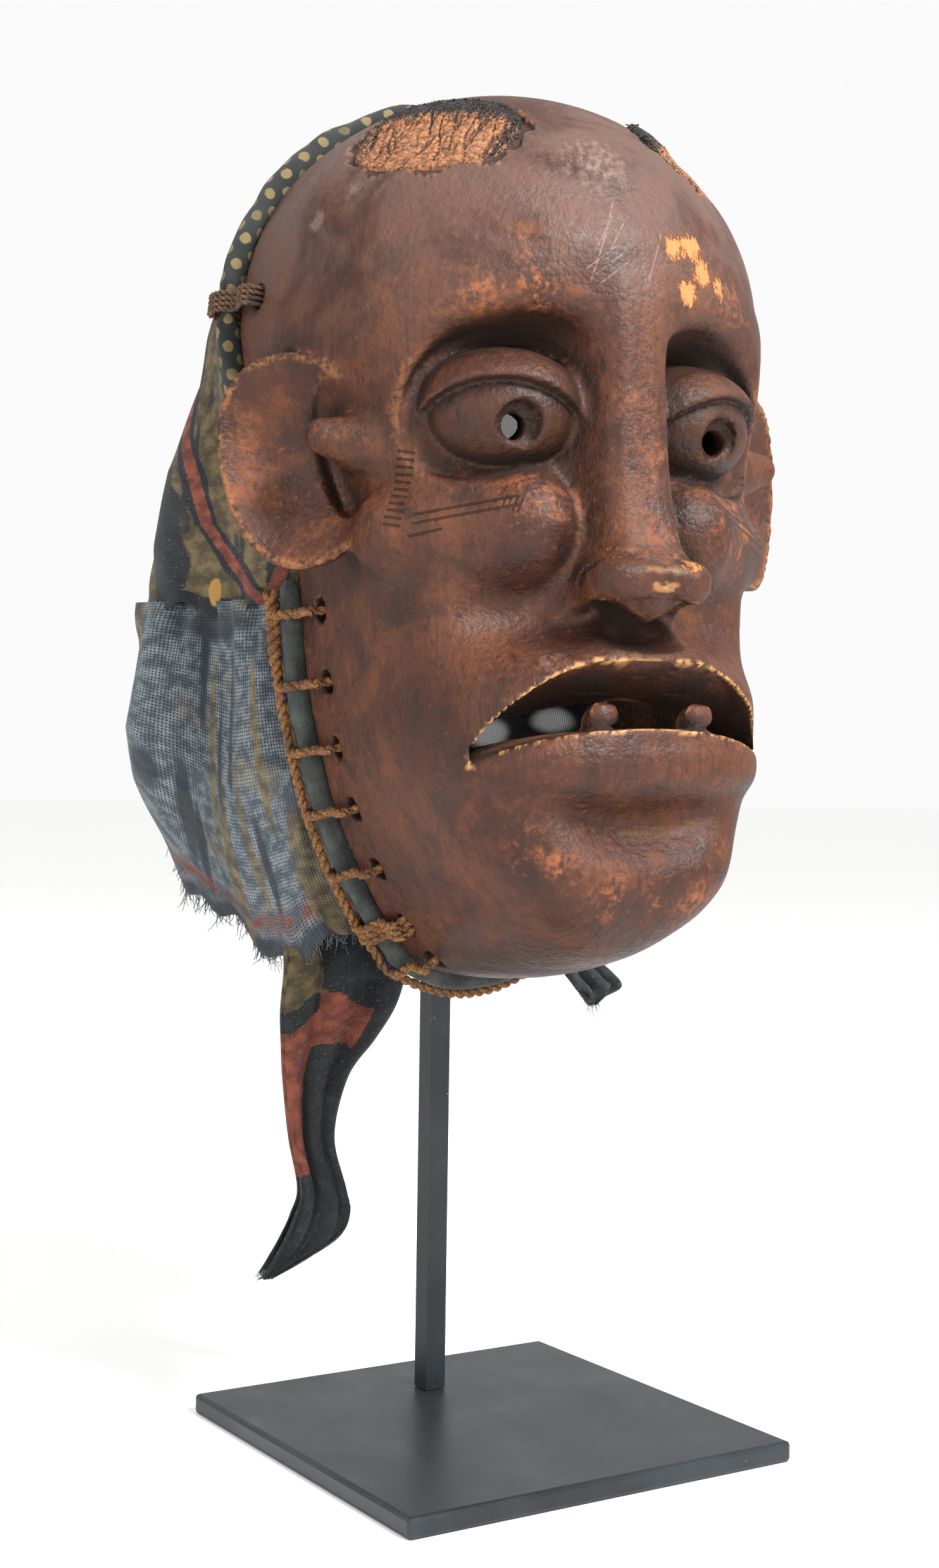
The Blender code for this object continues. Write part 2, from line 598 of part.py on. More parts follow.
def build_stand(steel, pose, holes):
    """Square base plate, and the square rod with the two arms that hold the mask from inside."""
    plate = box_mesh("base_plate", (PLATE_SIDE, PLATE_SIDE, PLATE_THICK), (0, 0, PLATE_THICK / 2))
    piece = add_object("base_plate", plate, steel)
    edge = piece.modifiers.new("Rounded edges", "BEVEL")
    edge.width = PLATE_EDGE
    edge.segments = 2

    foot = PLATE_THICK + GAP
    rod = box_mesh("stand_rod", (ROD_SIDE, ROD_SIDE, ROD_TOP - foot), (ROD_RIGHT, ROD_BACK, (ROD_TOP + foot) / 2))
    piece = add_object("stand_rod", rod, steel)
    turn = pose.matrix_world.to_3x3()
    for i, (height, aim) in enumerate(ARMS):
        start = turn.transposed() @ Vector((ROD_RIGHT, ROD_BACK, height))
        way = Vector(aim) - start
        share = np.linspace(0.3, 1.0, 700)
        room = mask_field(*[start[k] + way[k] * share for k in range(3)], holes)
        stop = share[np.argmax(room < ARM_RADIUS + ARM_CLEAR)]
        along = [turn @ (start + way * s) for s in (0.0, stop * 0.5, stop - 0.015, stop)]
        arm = tube_mesh("arm_%d" % i, along, [ARM_RADIUS] * 3 + [ARM_RADIUS * 0.6], 2)
        join(piece, add_cutter("arm_%d" % i, arm))


def build_shell(wood, pose, holes):
    """The carved wooden mask."""
    def field(x, y, z):
        return mask_field(x, y, z, holes)
    wide = EAR_AT[0] + EAR_ROOM
    low = (-wide, min(y for _, y in NOSE_LINE) - NOSE_ROOM, CHIN_LEVEL - CHIN_ROOM)
    high = (wide, RIM_Y + RIM_ROOM, CROWN_AT[2] + CROWN_SIZE[2] + CROWN_ROOM)
    verts, faces = skin_mesh(field, low, high, CELL)
    piece = add_net("mask_shell", verts, faces, wood, pose)
    fewer = piece.modifiers.new("Fewer faces", "DECIMATE")
    fewer.ratio = min(1.0, SHELL_FACES / len(faces))
    return piece


def hair_patch(name, side, grow, top):
    """Patch that follows the crown, as an outline grown by a margin and with a top above the wood."""
    long, across = Vector(HAIR_LONG), Vector(HAIR_ACROSS)
    out = across.cross(long).normalized()
    if out.z < 0:
        out.negate()
    marks = [(0.0, 0.0)]
    for ring in range(1, HAIR_RINGS + 1):
        for spoke in range(HAIR_SPOKES):
            angle = 2 * math.pi * spoke / HAIR_SPOKES
            c, s = math.cos(angle), math.sin(angle)
            r = (abs(c) ** HAIR_POWER + abs(s) ** HAIR_POWER) ** (-1 / HAIR_POWER) * ring / HAIR_RINGS
            marks.append((c * r, s * r))
    u = np.array([m[0] for m in marks]) * (HAIR_HALF[0] + grow)
    v = np.array([m[1] for m in marks]) * (HAIR_HALF[1] + grow)
    spots = np.array(HAIR_AT)[:, None] + np.outer(long, u) + np.outer(across, v)
    rise = top if grow else top * (0.15 + 0.85 * np.clip((v + 0.002) / 0.014, 0.0, 1.0))
    layers = []
    for level in (rise, -HAIR_DEPTH - grow):
        low, high = np.full(len(u), -0.02), np.full(len(u), 0.02)
        for _ in range(30):
            mid = (low + high) / 2
            inside = head_form([spots[i] + out[i] * mid for i in range(3)]) < level
            low, high = np.where(inside, mid, low), np.where(inside, high, mid)
        layers.append(np.array([spots[i] + out[i] * low for i in range(3)]).T)
    count = len(u)
    verts = np.concatenate(layers)
    verts[:, 0] *= side
    faces = []
    for base in (0, count):
        for spoke in range(HAIR_SPOKES):
            after = (spoke + 1) % HAIR_SPOKES
            faces.append((base, base + 1 + spoke, base + 1 + after))
            for ring in range(1, HAIR_RINGS):
                a, b = base + 1 + (ring - 1) * HAIR_SPOKES, base + 1 + ring * HAIR_SPOKES
                faces.append((a + spoke, b + spoke, b + after, a + after))
    edge = 1 + (HAIR_RINGS - 1) * HAIR_SPOKES
    for spoke in range(HAIR_SPOKES):
        after = (spoke + 1) % HAIR_SPOKES
        faces.append((edge + spoke, count + edge + spoke, count + edge + after, edge + after))
    return face_out(name, verts, faces)


def face_out(name, verts, faces):
    """Mesh of computed points whose faces all point outwards."""
    mesh = bpy.data.meshes.new(name)
    mesh.from_pydata([tuple(v) for v in verts], [], faces)
    work = bmesh.new()
    work.from_mesh(mesh)
    bmesh.ops.recalc_face_normals(work, faces=work.faces)
    work.to_mesh(mesh)
    work.free()
    return mesh


def build_hair(hair, pose, shell):
    """Worn patches of hide and matted hair, each in its own bed in the crown."""
    for name, side in (("hair_right", -1), ("hair_left", 1)):
        piece = add_object(name, hair_patch(name, side, 0.0, HAIR_RISE), hair, pose)
        piece.data.shade_smooth()
        bed = add_cutter(name + "_bed", hair_patch(name + "_bed", side, HAIR_CLEAR, BED_REACH), pose)
        join(shell, bed, "DIFFERENCE")


def jaw_angles():
    """Angles round the jaw from one end of the roll to the other, with every lacing hole among them."""
    marks = [rim_angle(h, 1) for h in (ROLL_TOP,) + HOLE_HEIGHTS[1:]]
    marks = marks + [2 * math.pi - m for m in reversed(marks)]
    angles = []
    for a, b in zip(marks, marks[1:]):
        angles += [a + (b - a) * i / JAW_STEPS for i in range(JAW_STEPS)]
    return angles + [marks[-1]]


def rim_path(angles, out, back):
    """Points along the rim, moved out from the wood and back from its face."""
    path = []
    for angle in angles:
        point, normal = rim_point(angle)
        point = point + normal * out
        point.y = RIM_Y + back
        path.append(point)
    return path


def loop_profile(radius, out, cord):
    """Way of one turn of cord in a plane across the rim, as (outwards, back) from the wood's edge."""
    back = SEAT + radius
    around = radius + cord + GAP
    turn = [(out + (around + slack) * math.cos(a), back + (around + slack) * math.sin(a))
            for a, slack in zip((CORD_LEAN, *LOOP_BENDS), LOOP_SLACK)]
    inside = -WALL - cord - 2.5 * SEAT
    rise = 2.4 * cord
    hole = -HOLE_IN
    return ([(cord + 1.5 * SEAT, hole), (cord + 1.5 * SEAT, -rise), (out + around * 0.92, 0.0)] + turn
            + [(inside + cord + 0.001, cord + 0.0030), (inside, -0.001), (inside, hole)])


def loop_tube(name, point, normal, profile, radius, pose):
    """One closed turn of cord through a lacing hole."""
    path = [Vector((point.x + normal.x * u, RIM_Y + v, point.z + normal.z * u)) for u, v in profile]
    return add_cutter(name, ring_mesh(name, path, radius, Vector((normal.z, 0.0, -normal.x))), pose)


def ring_mesh(name, path, radius, axle, sides=5):
    """Closed ring of round section through points that lie in the plane across axle."""
    verts, faces = [], []
    count = len(path)
    for i, spot in enumerate(path):
        way = (path[(i + 1) % count] - spot).normalized() + (spot - path[i - 1]).normalized()
        side = way.normalized().cross(axle)
        bend = max(0.55, (way.length / 2))
        for j in range(sides):
            angle = 2 * math.pi * (j + 0.5) / sides
            verts.append(spot + side * (radius * math.cos(angle) / bend) + axle * (radius * math.sin(angle)))
    for i in range(count):
        for j in range(sides):
            a, b = i * sides, ((i + 1) % count) * sides
            k = (j + 1) % sides
            faces.append((a + j, b + j, b + k, a + k))
    return face_out(name, verts, faces)


def build_rim(roll, band, cord, lash, pose, holes):
    """Dotted band over the crown, dark roll round the jaw, lacing cord and the two temple lashings."""
    top = rim_angle(BAND_END, 1)
    angles = [-top + 2 * top * i / (BAND_STEPS - 1) for i in range(BAND_STEPS)]
    ends = [0.6] + [1.0] * (BAND_STEPS - 2) + [0.6]
    mesh = tube_mesh("dotted_band", rim_path(angles, BAND_OUT, SEAT + BAND_RADIUS), [BAND_RADIUS * e for e in ends], 2)
    mesh.shade_smooth()
    add_object("dotted_band", mesh, band, pose)
    angles = jaw_angles()
    ends = [0.6] + [1.0] * (len(angles) - 2) + [0.6]
    mesh = tube_mesh("rim_roll", rim_path(angles, ROLL_OUT, SEAT + ROLL_RADIUS), [ROLL_RADIUS * e for e in ends], 1)
    mesh.shade_smooth()
    add_object("rim_roll", mesh, roll, pose)

    around = ROLL_RADIUS + CORD_RADIUS + GAP
    out, back = ROLL_OUT + around * math.cos(CORD_LEAN), SEAT + ROLL_RADIUS + around * math.sin(CORD_LEAN)
    path = rim_path(angles[1:-1], out, back)
    mesh = tube_mesh("lacing_cord", path, [CORD_RADIUS] * len(path), 1)
    mesh.shade_smooth()
    lacing = add_object("lacing_cord", mesh, cord, pose)
    profile = loop_profile(ROLL_RADIUS, ROLL_OUT, CORD_RADIUS)
    temple = loop_profile(BAND_RADIUS, BAND_OUT, LASH_RADIUS)
    for i, (point, normal) in enumerate(holes):
        if i % len(HOLE_HEIGHTS):
            join(lacing, loop_tube("loop_%02d" % i, point, normal, profile, CORD_RADIUS, pose))
    for name, (point, normal) in (("temple_lashing_right", holes[0]), ("temple_lashing_left", holes[len(HOLE_HEIGHTS)])):
        turn = loop_tube(name, point, normal, temple, LASH_RADIUS, pose)
        bpy.data.collections[CUTTERS].objects.unlink(turn)
        bpy.data.collections[MODEL].objects.link(turn)
        turn.hide_render = False
        turn.display_type = "TEXTURED"
        turn.data.shade_smooth()
        turn.data.materials.append(lash)


def hood_point(u, row):
    """Point of the hood: u runs from -1 at the right rim to 1 at the left, row counts down HOOD_ROWS."""
    i = min(int(row), len(HOOD_ROWS) - 2)
    part = row - i
    level, x1, y1, x2, y2, deep = [a + (b - a) * part for a, b in zip(HOOD_ROWS[i], HOOD_ROWS[i + 1])]
    rim, _ = rim_point(rim_angle(min(level, 0.4545), 1))
    edge_y = float(np.interp(level, *zip(*HOOD_EDGE)))
    t = 1.0 - abs(u)
    c = ((1 - t) ** 3, 3 * (1 - t) ** 2 * t, 3 * (1 - t) * t * t, t ** 3)
    x = c[0] * (rim.x + HOOD_OUT) + c[1] * x1 + c[2] * x2
    y = c[0] * edge_y + c[1] * y1 + c[2] * y2 + c[3] * deep
    z = level
    if level < SEAM_LEVEL:
        g = min(1.0, max(0.0, (t - 0.22) / 0.43))
        g = g * g * (3 - 2 * g)
        high = SEAM_LEVEL - (SEAM_LEVEL - level) * (SEAM_LEVEL - HEM_BACK) / (SEAM_LEVEL - HEM_FRONT)
        z = level + (high - level) * g
        z -= 0.0075 * math.exp(-((t - 0.20) / 0.09) ** 2) * (SEAM_LEVEL - level) / (SEAM_LEVEL - HEM_FRONT)
    loose = min(1.0, t / 0.12) * min(1.0, max(0.0, (0.400 - level) / 0.15))
    wave = FOLD_DEPTH * loose * math.sin(2 * math.pi * FOLDS * t + 0.9 * math.copysign(1.0, u))
    dx = 3 * (1 - t) ** 2 * (x1 - rim.x) + 6 * (1 - t) * t * (x2 - x1) - 3 * t * t * x2
    dy = 3 * (1 - t) ** 2 * (y1 - edge_y) + 6 * (1 - t) * t * (y2 - y1) + 3 * t * t * (deep - y2)
    size = math.hypot(dx, dy)
    if t < 1.0:
        x += wave * dy / size
        y -= wave * dx / size
    return Vector((math.copysign(x, u) if t < 1.0 else 0.0, y, z))


def hood_net(name, columns, rows, keep):
    """Sheet of the hood over its columns and rows, in the places where keep says so."""
    verts = [hood_point(u, r) for r in rows for u in columns]
    faces = []
    for i in range(len(rows) - 1):
        for j in range(len(columns) - 1):
            if keep((columns[j] + columns[j + 1]) / 2, (rows[i] + rows[i + 1]) / 2):
                a, b = i * len(columns) + j, (i + 1) * len(columns) + j
                faces.append((a, a + 1, b + 1, b))
    mesh = bpy.data.meshes.new(name)
    mesh.from_pydata(verts, [], faces)
    work = bmesh.new()
    work.from_mesh(mesh)
    loose = [v for v in work.verts if not v.link_faces]
    bmesh.ops.delete(work, geom=loose, context="VERTS")
    work.to_mesh(mesh)
    work.free()
    mesh.shade_smooth()
    return mesh


def build_hood(cotton, gauze, pose):
    """Printed cotton hood, and the sheer gauze panel let into it below the seam on the right."""
    seam = min(range(len(HOOD_ROWS)), key=lambda i: abs(HOOD_ROWS[i][0] - SEAM_LEVEL))
    last = len(HOOD_ROWS) - 1
    columns = [-1.0 + i / HOOD_COLUMNS for i in range(2 * HOOD_COLUMNS + 1)]
    split = min(range(len(columns)), key=lambda i: abs(columns[i] + GAUZE_END - 0.33))
    rows = list(range(last + 1))
    mesh = hood_net("hood_cotton", columns, rows, lambda u, r: r < seam or u > columns[split])
    piece = add_object("hood_cotton", mesh, cotton, pose)
    thick = piece.modifiers.new("Cloth thickness", "SOLIDIFY")
    thick.thickness, thick.offset = CLOTH_THICK, 0.0
    end = columns[split] - SEAM_GAP
    strip = [-1.0 + (end + 1.0) * i / split for i in range(split + 1)]
    lower = [seam + 0.10] + list(range(seam + 1, last + 1))
    mesh = hood_net("hood_gauze", strip, lower, lambda u, r: True)
    piece = add_object("hood_gauze", mesh, gauze, pose)
    thick = piece.modifiers.new("Cloth thickness", "SOLIDIFY")
    thick.thickness, thick.offset = CLOTH_THICK, 0.0


def build_tails(cotton, pose):
    """Gathered ends of the cloth, flat bundles whose edges follow their rows."""
    for name, rows in (("cloth_tail", TAIL_ROWS), ("cloth_tip", TIP_ROWS)):
        verts, faces = [], []
        for n, (z, a, b, back) in enumerate(rows):
            half = (b - a) / 2
            squeeze = 0.55 if n in (0, len(rows) - 1) else 1.0
            for j in range(TAIL_SIDES):
                angle = 2 * math.pi * j / TAIL_SIDES
                c, s = math.cos(angle), math.sin(angle)
                bulge = 1.0 + 0.35 * math.cos(3 * math.pi * c)
                bulge = min(bulge, 1.0) if abs(c) > 0.95 else bulge
                verts.append(((a + b) / 2 + half * c, TAIL_Y + back + TAIL_THICK * squeeze * bulge * s, z))
        for n in range(len(rows) - 1):
            for j in range(TAIL_SIDES):
                k = (j + 1) % TAIL_SIDES
                p, q = n * TAIL_SIDES, (n + 1) * TAIL_SIDES
                faces.append((p + j, p + k, q + k, q + j))
        faces.append(tuple(range(TAIL_SIDES)))
        faces.append(tuple(range((len(rows) - 1) * TAIL_SIDES, len(rows) * TAIL_SIDES)))
        mesh = face_out(name, verts, faces)
        mesh.shade_smooth()
        add_object(name, mesh, cotton, pose)


clear_scene()
POSE = mask_pose()
bpy.context.view_layer.update()
RIM = rim_table()
HOLES = lacing_holes()
STEEL = paint("blackened steel", (0.022, 0.026, 0.030), 0.38, 0.9)
WOOD = paint("red brown wood", (0.155, 0.062, 0.036), 0.45)
HIDE = paint("worn hide and hair", (0.30, 0.135, 0.060), 0.85)
DOTS = paint("dotted cotton", (0.020, 0.026, 0.028), 0.85)
DARK = paint("dark cotton", (0.035, 0.042, 0.036), 0.85)
FIBRE = paint("plant fibre cord", (0.160, 0.082, 0.034), 0.75)
BROWN = paint("dark fibre", (0.035, 0.020, 0.014), 0.85)
PRINT = paint("printed cotton", (0.085, 0.070, 0.038), 0.90)
SHEER = paint("cotton gauze", (0.070, 0.085, 0.105), 0.90)
SHELL = build_shell(WOOD, POSE, HOLES)
build_stand(STEEL, POSE, HOLES)
build_hair(HIDE, POSE, SHELL)
build_rim(DARK, DOTS, FIBRE, BROWN, POSE, HOLES)
build_hood(PRINT, SHEER, POSE)
build_tails(PRINT, POSE)
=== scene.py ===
import itertools
import math

import bpy
import bmesh
import numpy as np
from mathutils import Matrix, Vector


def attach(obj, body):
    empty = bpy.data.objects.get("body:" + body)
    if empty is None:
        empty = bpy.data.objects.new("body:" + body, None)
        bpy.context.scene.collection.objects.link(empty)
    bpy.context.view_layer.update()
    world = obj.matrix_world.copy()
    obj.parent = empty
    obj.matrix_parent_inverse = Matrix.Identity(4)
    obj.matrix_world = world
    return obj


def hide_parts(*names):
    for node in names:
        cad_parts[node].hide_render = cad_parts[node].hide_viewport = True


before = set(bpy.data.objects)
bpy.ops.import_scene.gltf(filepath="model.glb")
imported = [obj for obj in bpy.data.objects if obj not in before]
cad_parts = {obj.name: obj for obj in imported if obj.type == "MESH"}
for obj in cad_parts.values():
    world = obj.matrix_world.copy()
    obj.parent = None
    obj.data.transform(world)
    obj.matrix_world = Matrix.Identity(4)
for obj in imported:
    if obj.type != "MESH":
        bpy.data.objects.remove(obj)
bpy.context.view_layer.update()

# Clear gap between pieces that touch
GAP = 0.0003

# How the mask is turned on the stand
MASK_TURN = math.radians(-5.0)
MASK_LEAN = math.radians(1.0)

# Carved wooden shell
RIM_Y = 0.006
WALL = 0.010
EYE_WALL = 0.0095
LIP_WALL = 0.021
LIP_LEVEL = 0.250

CROWN_AT = (0.0, -0.0045, 0.377)
CROWN_SIZE = (0.088, 0.0976, 0.0814)
# Height, and the half width of the face there at the rim
SIDE_LINE = [(0.158, 0.004), (0.164, 0.020), (0.175, 0.031), (0.195, 0.0435), (0.216, 0.053),
             (0.239, 0.0595), (0.262, 0.064), (0.285, 0.066), (0.310, 0.068), (0.350, 0.075), (0.377, 0.080)]
# Height, and how far forward the face is there
FRONT_LINE = [(0.158, 0.0), (0.164, -0.045), (0.172, -0.080), (0.182, -0.098), (0.192, -0.1045),
              (0.212, -0.1045), (0.243, -0.107), (0.266, -0.1085), (0.280, -0.096), (0.300, -0.087),
              (0.350, -0.088), (0.377, -0.090)]
# Height, and how square the section is there: 2 is an ellipse
SQUARE_LINE = [(0.158, 2.0), (0.175, 2.6), (0.195, 4.6), (0.215, 4.4), (0.240, 3.3), (0.262, 3.0),
               (0.285, 4.2), (0.350, 4.0), (0.377, 3.0)]
SECTION_BACK = 0.012
CHIN_LEVEL = 0.160
BROW_LEVEL = 0.376

MUZZLE_AT = (0.0, -0.046, 0.245)
MUZZLE_SIZE = (0.058, 0.063, 0.030)
CHEEK_HOLLOW_AT = (0.044, -0.106, 0.281)
CHEEK_HOLLOW_SIZE = (0.028, 0.026, 0.016)
POUCH_FROM = (0.0285, -0.0800, 0.3055)
POUCH_TO = (0.060, -0.0575, 0.304)
POUCH_RADII = (0.0180, 0.0145)

SOCKET_AT = (0.0405, -0.106, 0.346)
SOCKET_SIZE = (0.0315, 0.0345, 0.0255)
# Each eye is turned outwards about its own middle
EYE_AT = (0.0330, -0.0730, 0.3400)
EYE_TURN = math.radians(26.0)
EYE_SIZE = (0.0240, 0.0215, 0.0170)
LID_SIZE = (0.0265, 0.0248, 0.0212)
LID_EDGE = 0.0098
LID_DROP = 0.0035
LID_SLANT = 0.35
EYE_GROOVE_SIZE = (0.0305, 0.0270, 0.0252)
EYE_GROOVE_FLOOR = -0.0080
PUPIL_AT = (0.0362, 0.3352)
PUPIL_MOUTH = 0.0077
PUPIL_BORE = 0.0042
PUPIL_DEPTH = -0.0895

# Height, and how far forward the ridge of the nose is there
NOSE_LINE = [(0.270, -0.116), (0.288, -0.118), (0.300, -0.1105), (0.311, -0.107), (0.345, -0.104),
             (0.375, -0.103), (0.400, -0.096)]
NOSE_HALF = (0.0095, 0.0110)
NOSE_FLARE = 0.34
NOSE_TOP = 0.385
NOSE_BASE = 0.284
WING_AT = (0.0100, -0.1045, 0.2880)
WING_SIZE = (0.0105, 0.0135, 0.0080)
# Wedge under the nose: its point, how its edges rise and its face comes forward, and its depth
SEPTUM_TIP = (-0.1065, 0.2756)
SEPTUM_RISE = 0.58
SEPTUM_LEAN = (1.06, 0.45)
SEPTUM_DEPTH = 0.007
SEPTUM_HALF = 0.0155
SEPTUM_HIGH = 0.0105
NOSTRIL_SCOOP_AT = (0.0, -0.106, 0.2755)
NOSTRIL_SCOOP_SIZE = (0.0165, 0.0105, 0.0085)
NOSTRIL_AT = (0.0090, -0.1035, 0.2815)
NOSTRIL_SIZE = (0.0078, 0.0085, 0.0080)

LOWER_LIP_AT = (0.0, -0.071, 0.2325)
LOWER_LIP_SIZE = (0.0530, 0.0415, 0.0140)
LIP_GROOVE_AT = (0.0, -0.117, 0.2140)
LIP_GROOVE_SIZE = (0.042, 0.0195, 0.0078)
MOUTH_HALF = 0.0515
MOUTH_CORNER = 0.2315
MOUTH_RISE = 0.0345
MOUTH_FLOOR_RISE = 0.0125
MOUTH_SLANT = 0.62
MOUTH_FRONT = (-0.081, -0.112)
TEETH_AT = (-0.0142, 0.0198)
TOOTH_Y = -0.1015
TOOTH_LEVELS = (0.2350, 0.2475)
TOOTH_RADII = (0.0042, 0.0058)

EAR_AT = (0.0883, -0.0390, 0.3280)
EAR_TURN = math.radians(39.0)
EAR_TILT = math.radians(12.0)
EAR_HALF = (0.0235, 0.0340)
EAR_THICK = 0.0062
EAR_DISH = 0.0100
EAR_HOLLOW_AT = (-0.019, -0.004, 0.0)
EAR_HOLLOW_SIZE = (0.0135, 0.014, 0.0235)
TRAGUS_FROM = (-0.030, -0.008, -0.003)
TRAGUS_TO = (-0.0125, 0.0035, 0.004)
TRAGUS_RADII = (0.0125, 0.0056)

# Lacing holes, as heights on the side of the rim
HOLE_RADIUS = 0.0040
HOLE_IN = 0.016
HOLE_HEIGHTS = (0.3847, 0.2840, 0.2605, 0.2390, 0.2186, 0.1985, 0.1797, 0.1670)

# Beds cut in the crown, and the worn patches of hide and hair set in them
HAIR_AT = (0.0442, -0.0521, 0.4314)
HAIR_LONG = (0.567, 0.8115, 0.1413)
HAIR_ACROSS = (-0.661, 0.345, 0.667)
HAIR_HALF = (0.029, 0.0215)
HAIR_POWER = 2.5
HAIR_RISE = 0.0016

# Rolled cloth round the rim, and the cord that laces the lower roll on
RIM_MIDDLE = 0.300
SEAT = 0.0008
ROLL_RADIUS = 0.0040
ROLL_OUT = 0.0015
ROLL_TOP = 0.2955
BAND_RADIUS = 0.0045
BAND_OUT = 0.0020
BAND_END = 0.3460
BAND_STEPS = 34
JAW_STEPS = 3
CORD_RADIUS = 0.0018
CORD_LEAN = math.radians(25.0)
LASH_RADIUS = 0.0025
LOOP_BENDS = (math.radians(68.0), math.radians(112.0), math.radians(150.0))
LOOP_SLACK = (0.0, 0.0004, 0.0007, 0.0010)

# Cloth hood that hangs behind the rim
SEAM_LEVEL = 0.2875
HEM_FRONT = 0.172
HEM_BACK = 0.232
GAUZE_END = 0.66
SEAM_GAP = 0.018
# Height at the rim, then how far the two guide points and the middle of the back stand out
HOOD_ROWS = [(0.4545, 0.022, 0.024, 0.010, 0.027, 0.027), (0.440, 0.050, 0.031, 0.030, 0.038, 0.038),
             (0.420, 0.075, 0.034, 0.055, 0.048, 0.048), (0.400, 0.088, 0.036, 0.075, 0.058, 0.057),
             (0.385, 0.092, 0.038, 0.088, 0.065, 0.063), (0.365, 0.090, 0.040, 0.098, 0.074, 0.071),
             (0.345, 0.086, 0.042, 0.112, 0.086, 0.082), (0.325, 0.084, 0.042, 0.130, 0.100, 0.094),
             (0.305, 0.084, 0.040, 0.139, 0.111, 0.104), (0.2875, 0.085, 0.038, 0.142, 0.116, 0.111),
             (0.264, 0.088, 0.036, 0.142, 0.120, 0.116), (0.240, 0.092, 0.035, 0.140, 0.122, 0.119),
             (0.216, 0.095, 0.035, 0.134, 0.122, 0.121), (0.194, 0.098, 0.035, 0.129, 0.121, 0.121),
             (0.172, 0.100, 0.035, 0.125, 0.120, 0.121)]
# Height at the rim, and how far back the hood starts there, clear of what is tied to the rim
HOOD_EDGE = [(0.172, 0.0202), (0.295, 0.0202), (0.305, 0.0095), (0.335, 0.0095), (0.346, 0.0176), (0.374, 0.0176),
             (0.3805, 0.0222), (0.390, 0.0222), (0.397, 0.0176), (0.4545, 0.0176)]
FOLDS = 3.5
FOLD_DEPTH = 0.0042

# Gathered tail of the cloth at the right corner, tucked up behind the hem, and the short one at the left
TAIL_Y = 0.0245
TAIL_THICK = 0.0028
# Height, where the right and left edges are there, and how far behind its plain place the bundle lies
TAIL_ROWS = [(0.1880, -0.0530, -0.0240, 0.0140), (0.1780, -0.0560, -0.0200, 0.0130),
             (0.1690, -0.0600, -0.0150, 0.0105), (0.1610, -0.0620, -0.0140, 0.0070),
             (0.1490, -0.0650, -0.0195, 0.0030), (0.1380, -0.0655, -0.0285, 0.0010),
             (0.1255, -0.0650, -0.0400, 0.0), (0.1050, -0.0625, -0.0460, 0.0), (0.0870, -0.0590, -0.0420, 0.0),
             (0.0780, -0.0620, -0.0400, 0.0), (0.0700, -0.0665, -0.0430, 0.0), (0.0640, -0.0705, -0.0530, 0.0),
             (0.0590, -0.0735, -0.0680, 0.0)]
TIP_ROWS = [(0.1620, 0.0440, 0.0590, 0.0), (0.1560, 0.0475, 0.0680, 0.0), (0.1510, 0.0520, 0.0705, 0.0),
            (0.1460, 0.0560, 0.0610, 0.0)]

# Flat cuts on each tooth: the way each faces and how far out it lies
TOOTH_CUTS = [(0.12, 0.30, 0.95, 0.0030), (-0.80, 0.30, 0.50, 0.0040), (0.55, -0.25, -0.80, 0.0044)]

# Blunt tip of the nose
NOSE_TIP = ((0.0, -0.1118, 0.2890), (0.0075, 0.0055, 0.0042))

# Cut line over each wing of the nose
WING_CREASE = [(0.0195, -0.0990, 0.2880), (0.0185, -0.1060, 0.2940), (0.0140, -0.1110, 0.2962),
               (0.0060, -0.1160, 0.2955)]
CREASE_RADIUS = 0.0015

# Fineness of the carved surface, and the triangles kept of it
FINE = 0.0015
MASK_FACES = 190000
CARVING_BOX = ((-0.125, -0.130, 0.150), (0.125, 0.012, 0.465))

# Worn and dirty places of the wood: middle, radius, strength. Two of the rubbed places, on the top of the right pouch
# and on the left cheek, are painted highlights as well as wear
RUBBED_AND_HIGHLIGHT = [((-0.033, -0.095, 0.383), 0.008, 1.0), ((-0.031, -0.096, 0.374), 0.007, 1.0),
          ((-0.046, -0.087, 0.374), 0.008, 0.8), ((-0.037, -0.097, 0.208), 0.007, 0.7),
          ((-0.028, -0.103, 0.203), 0.006, 0.8), ((-0.013, -0.104, 0.192), 0.007, 0.7),
          ((0.004, -0.105, 0.190), 0.007, 0.5), ((0.020, -0.102, 0.189), 0.008, 0.8),
          ((-0.002, -0.104, 0.340), 0.010, 0.45), ((0.004, -0.108, 0.325), 0.010, 0.6),
          ((0.006, -0.112, 0.305), 0.010, 0.6), ((0.042, -0.088, 0.316), 0.020, 0.9),
          ((-0.031, -0.094, 0.316), 0.011, 0.9), ((-0.020, -0.096, 0.312), 0.010, 0.4),
          ((-0.092, -0.040, 0.322), 0.022, 0.35), ((0.039, -0.092, 0.381), 0.010, 0.5)]
BARED = [((0.014, -0.099, 0.392), 0.0055, 1.0), ((0.022, -0.096, 0.394), 0.0060, 1.0),
         ((0.026, -0.097, 0.386), 0.0060, 1.0), ((0.019, -0.100, 0.379), 0.0055, 1.0),
         ((0.034, -0.094, 0.383), 0.0060, 0.75), ((0.010, -0.116, 0.293), 0.0060, 0.75),
         ((-0.004, -0.117, 0.294), 0.0060, 0.45), ((0.016, -0.112, 0.288), 0.0040, 0.9)]
SCUFFED = [((-0.078, -0.036, 0.404), 0.007, 0.6), ((-0.070, -0.046, 0.413), 0.006, 0.6),
           ((-0.030, -0.101, 0.264), 0.010, 0.5), ((-0.006, -0.088, 0.419), 0.020, 0.55)]

# Where the edges of the nose tip are worn pale: middle and reach
TIP_WEAR = ((0.004, -0.114, 0.291), 0.024)

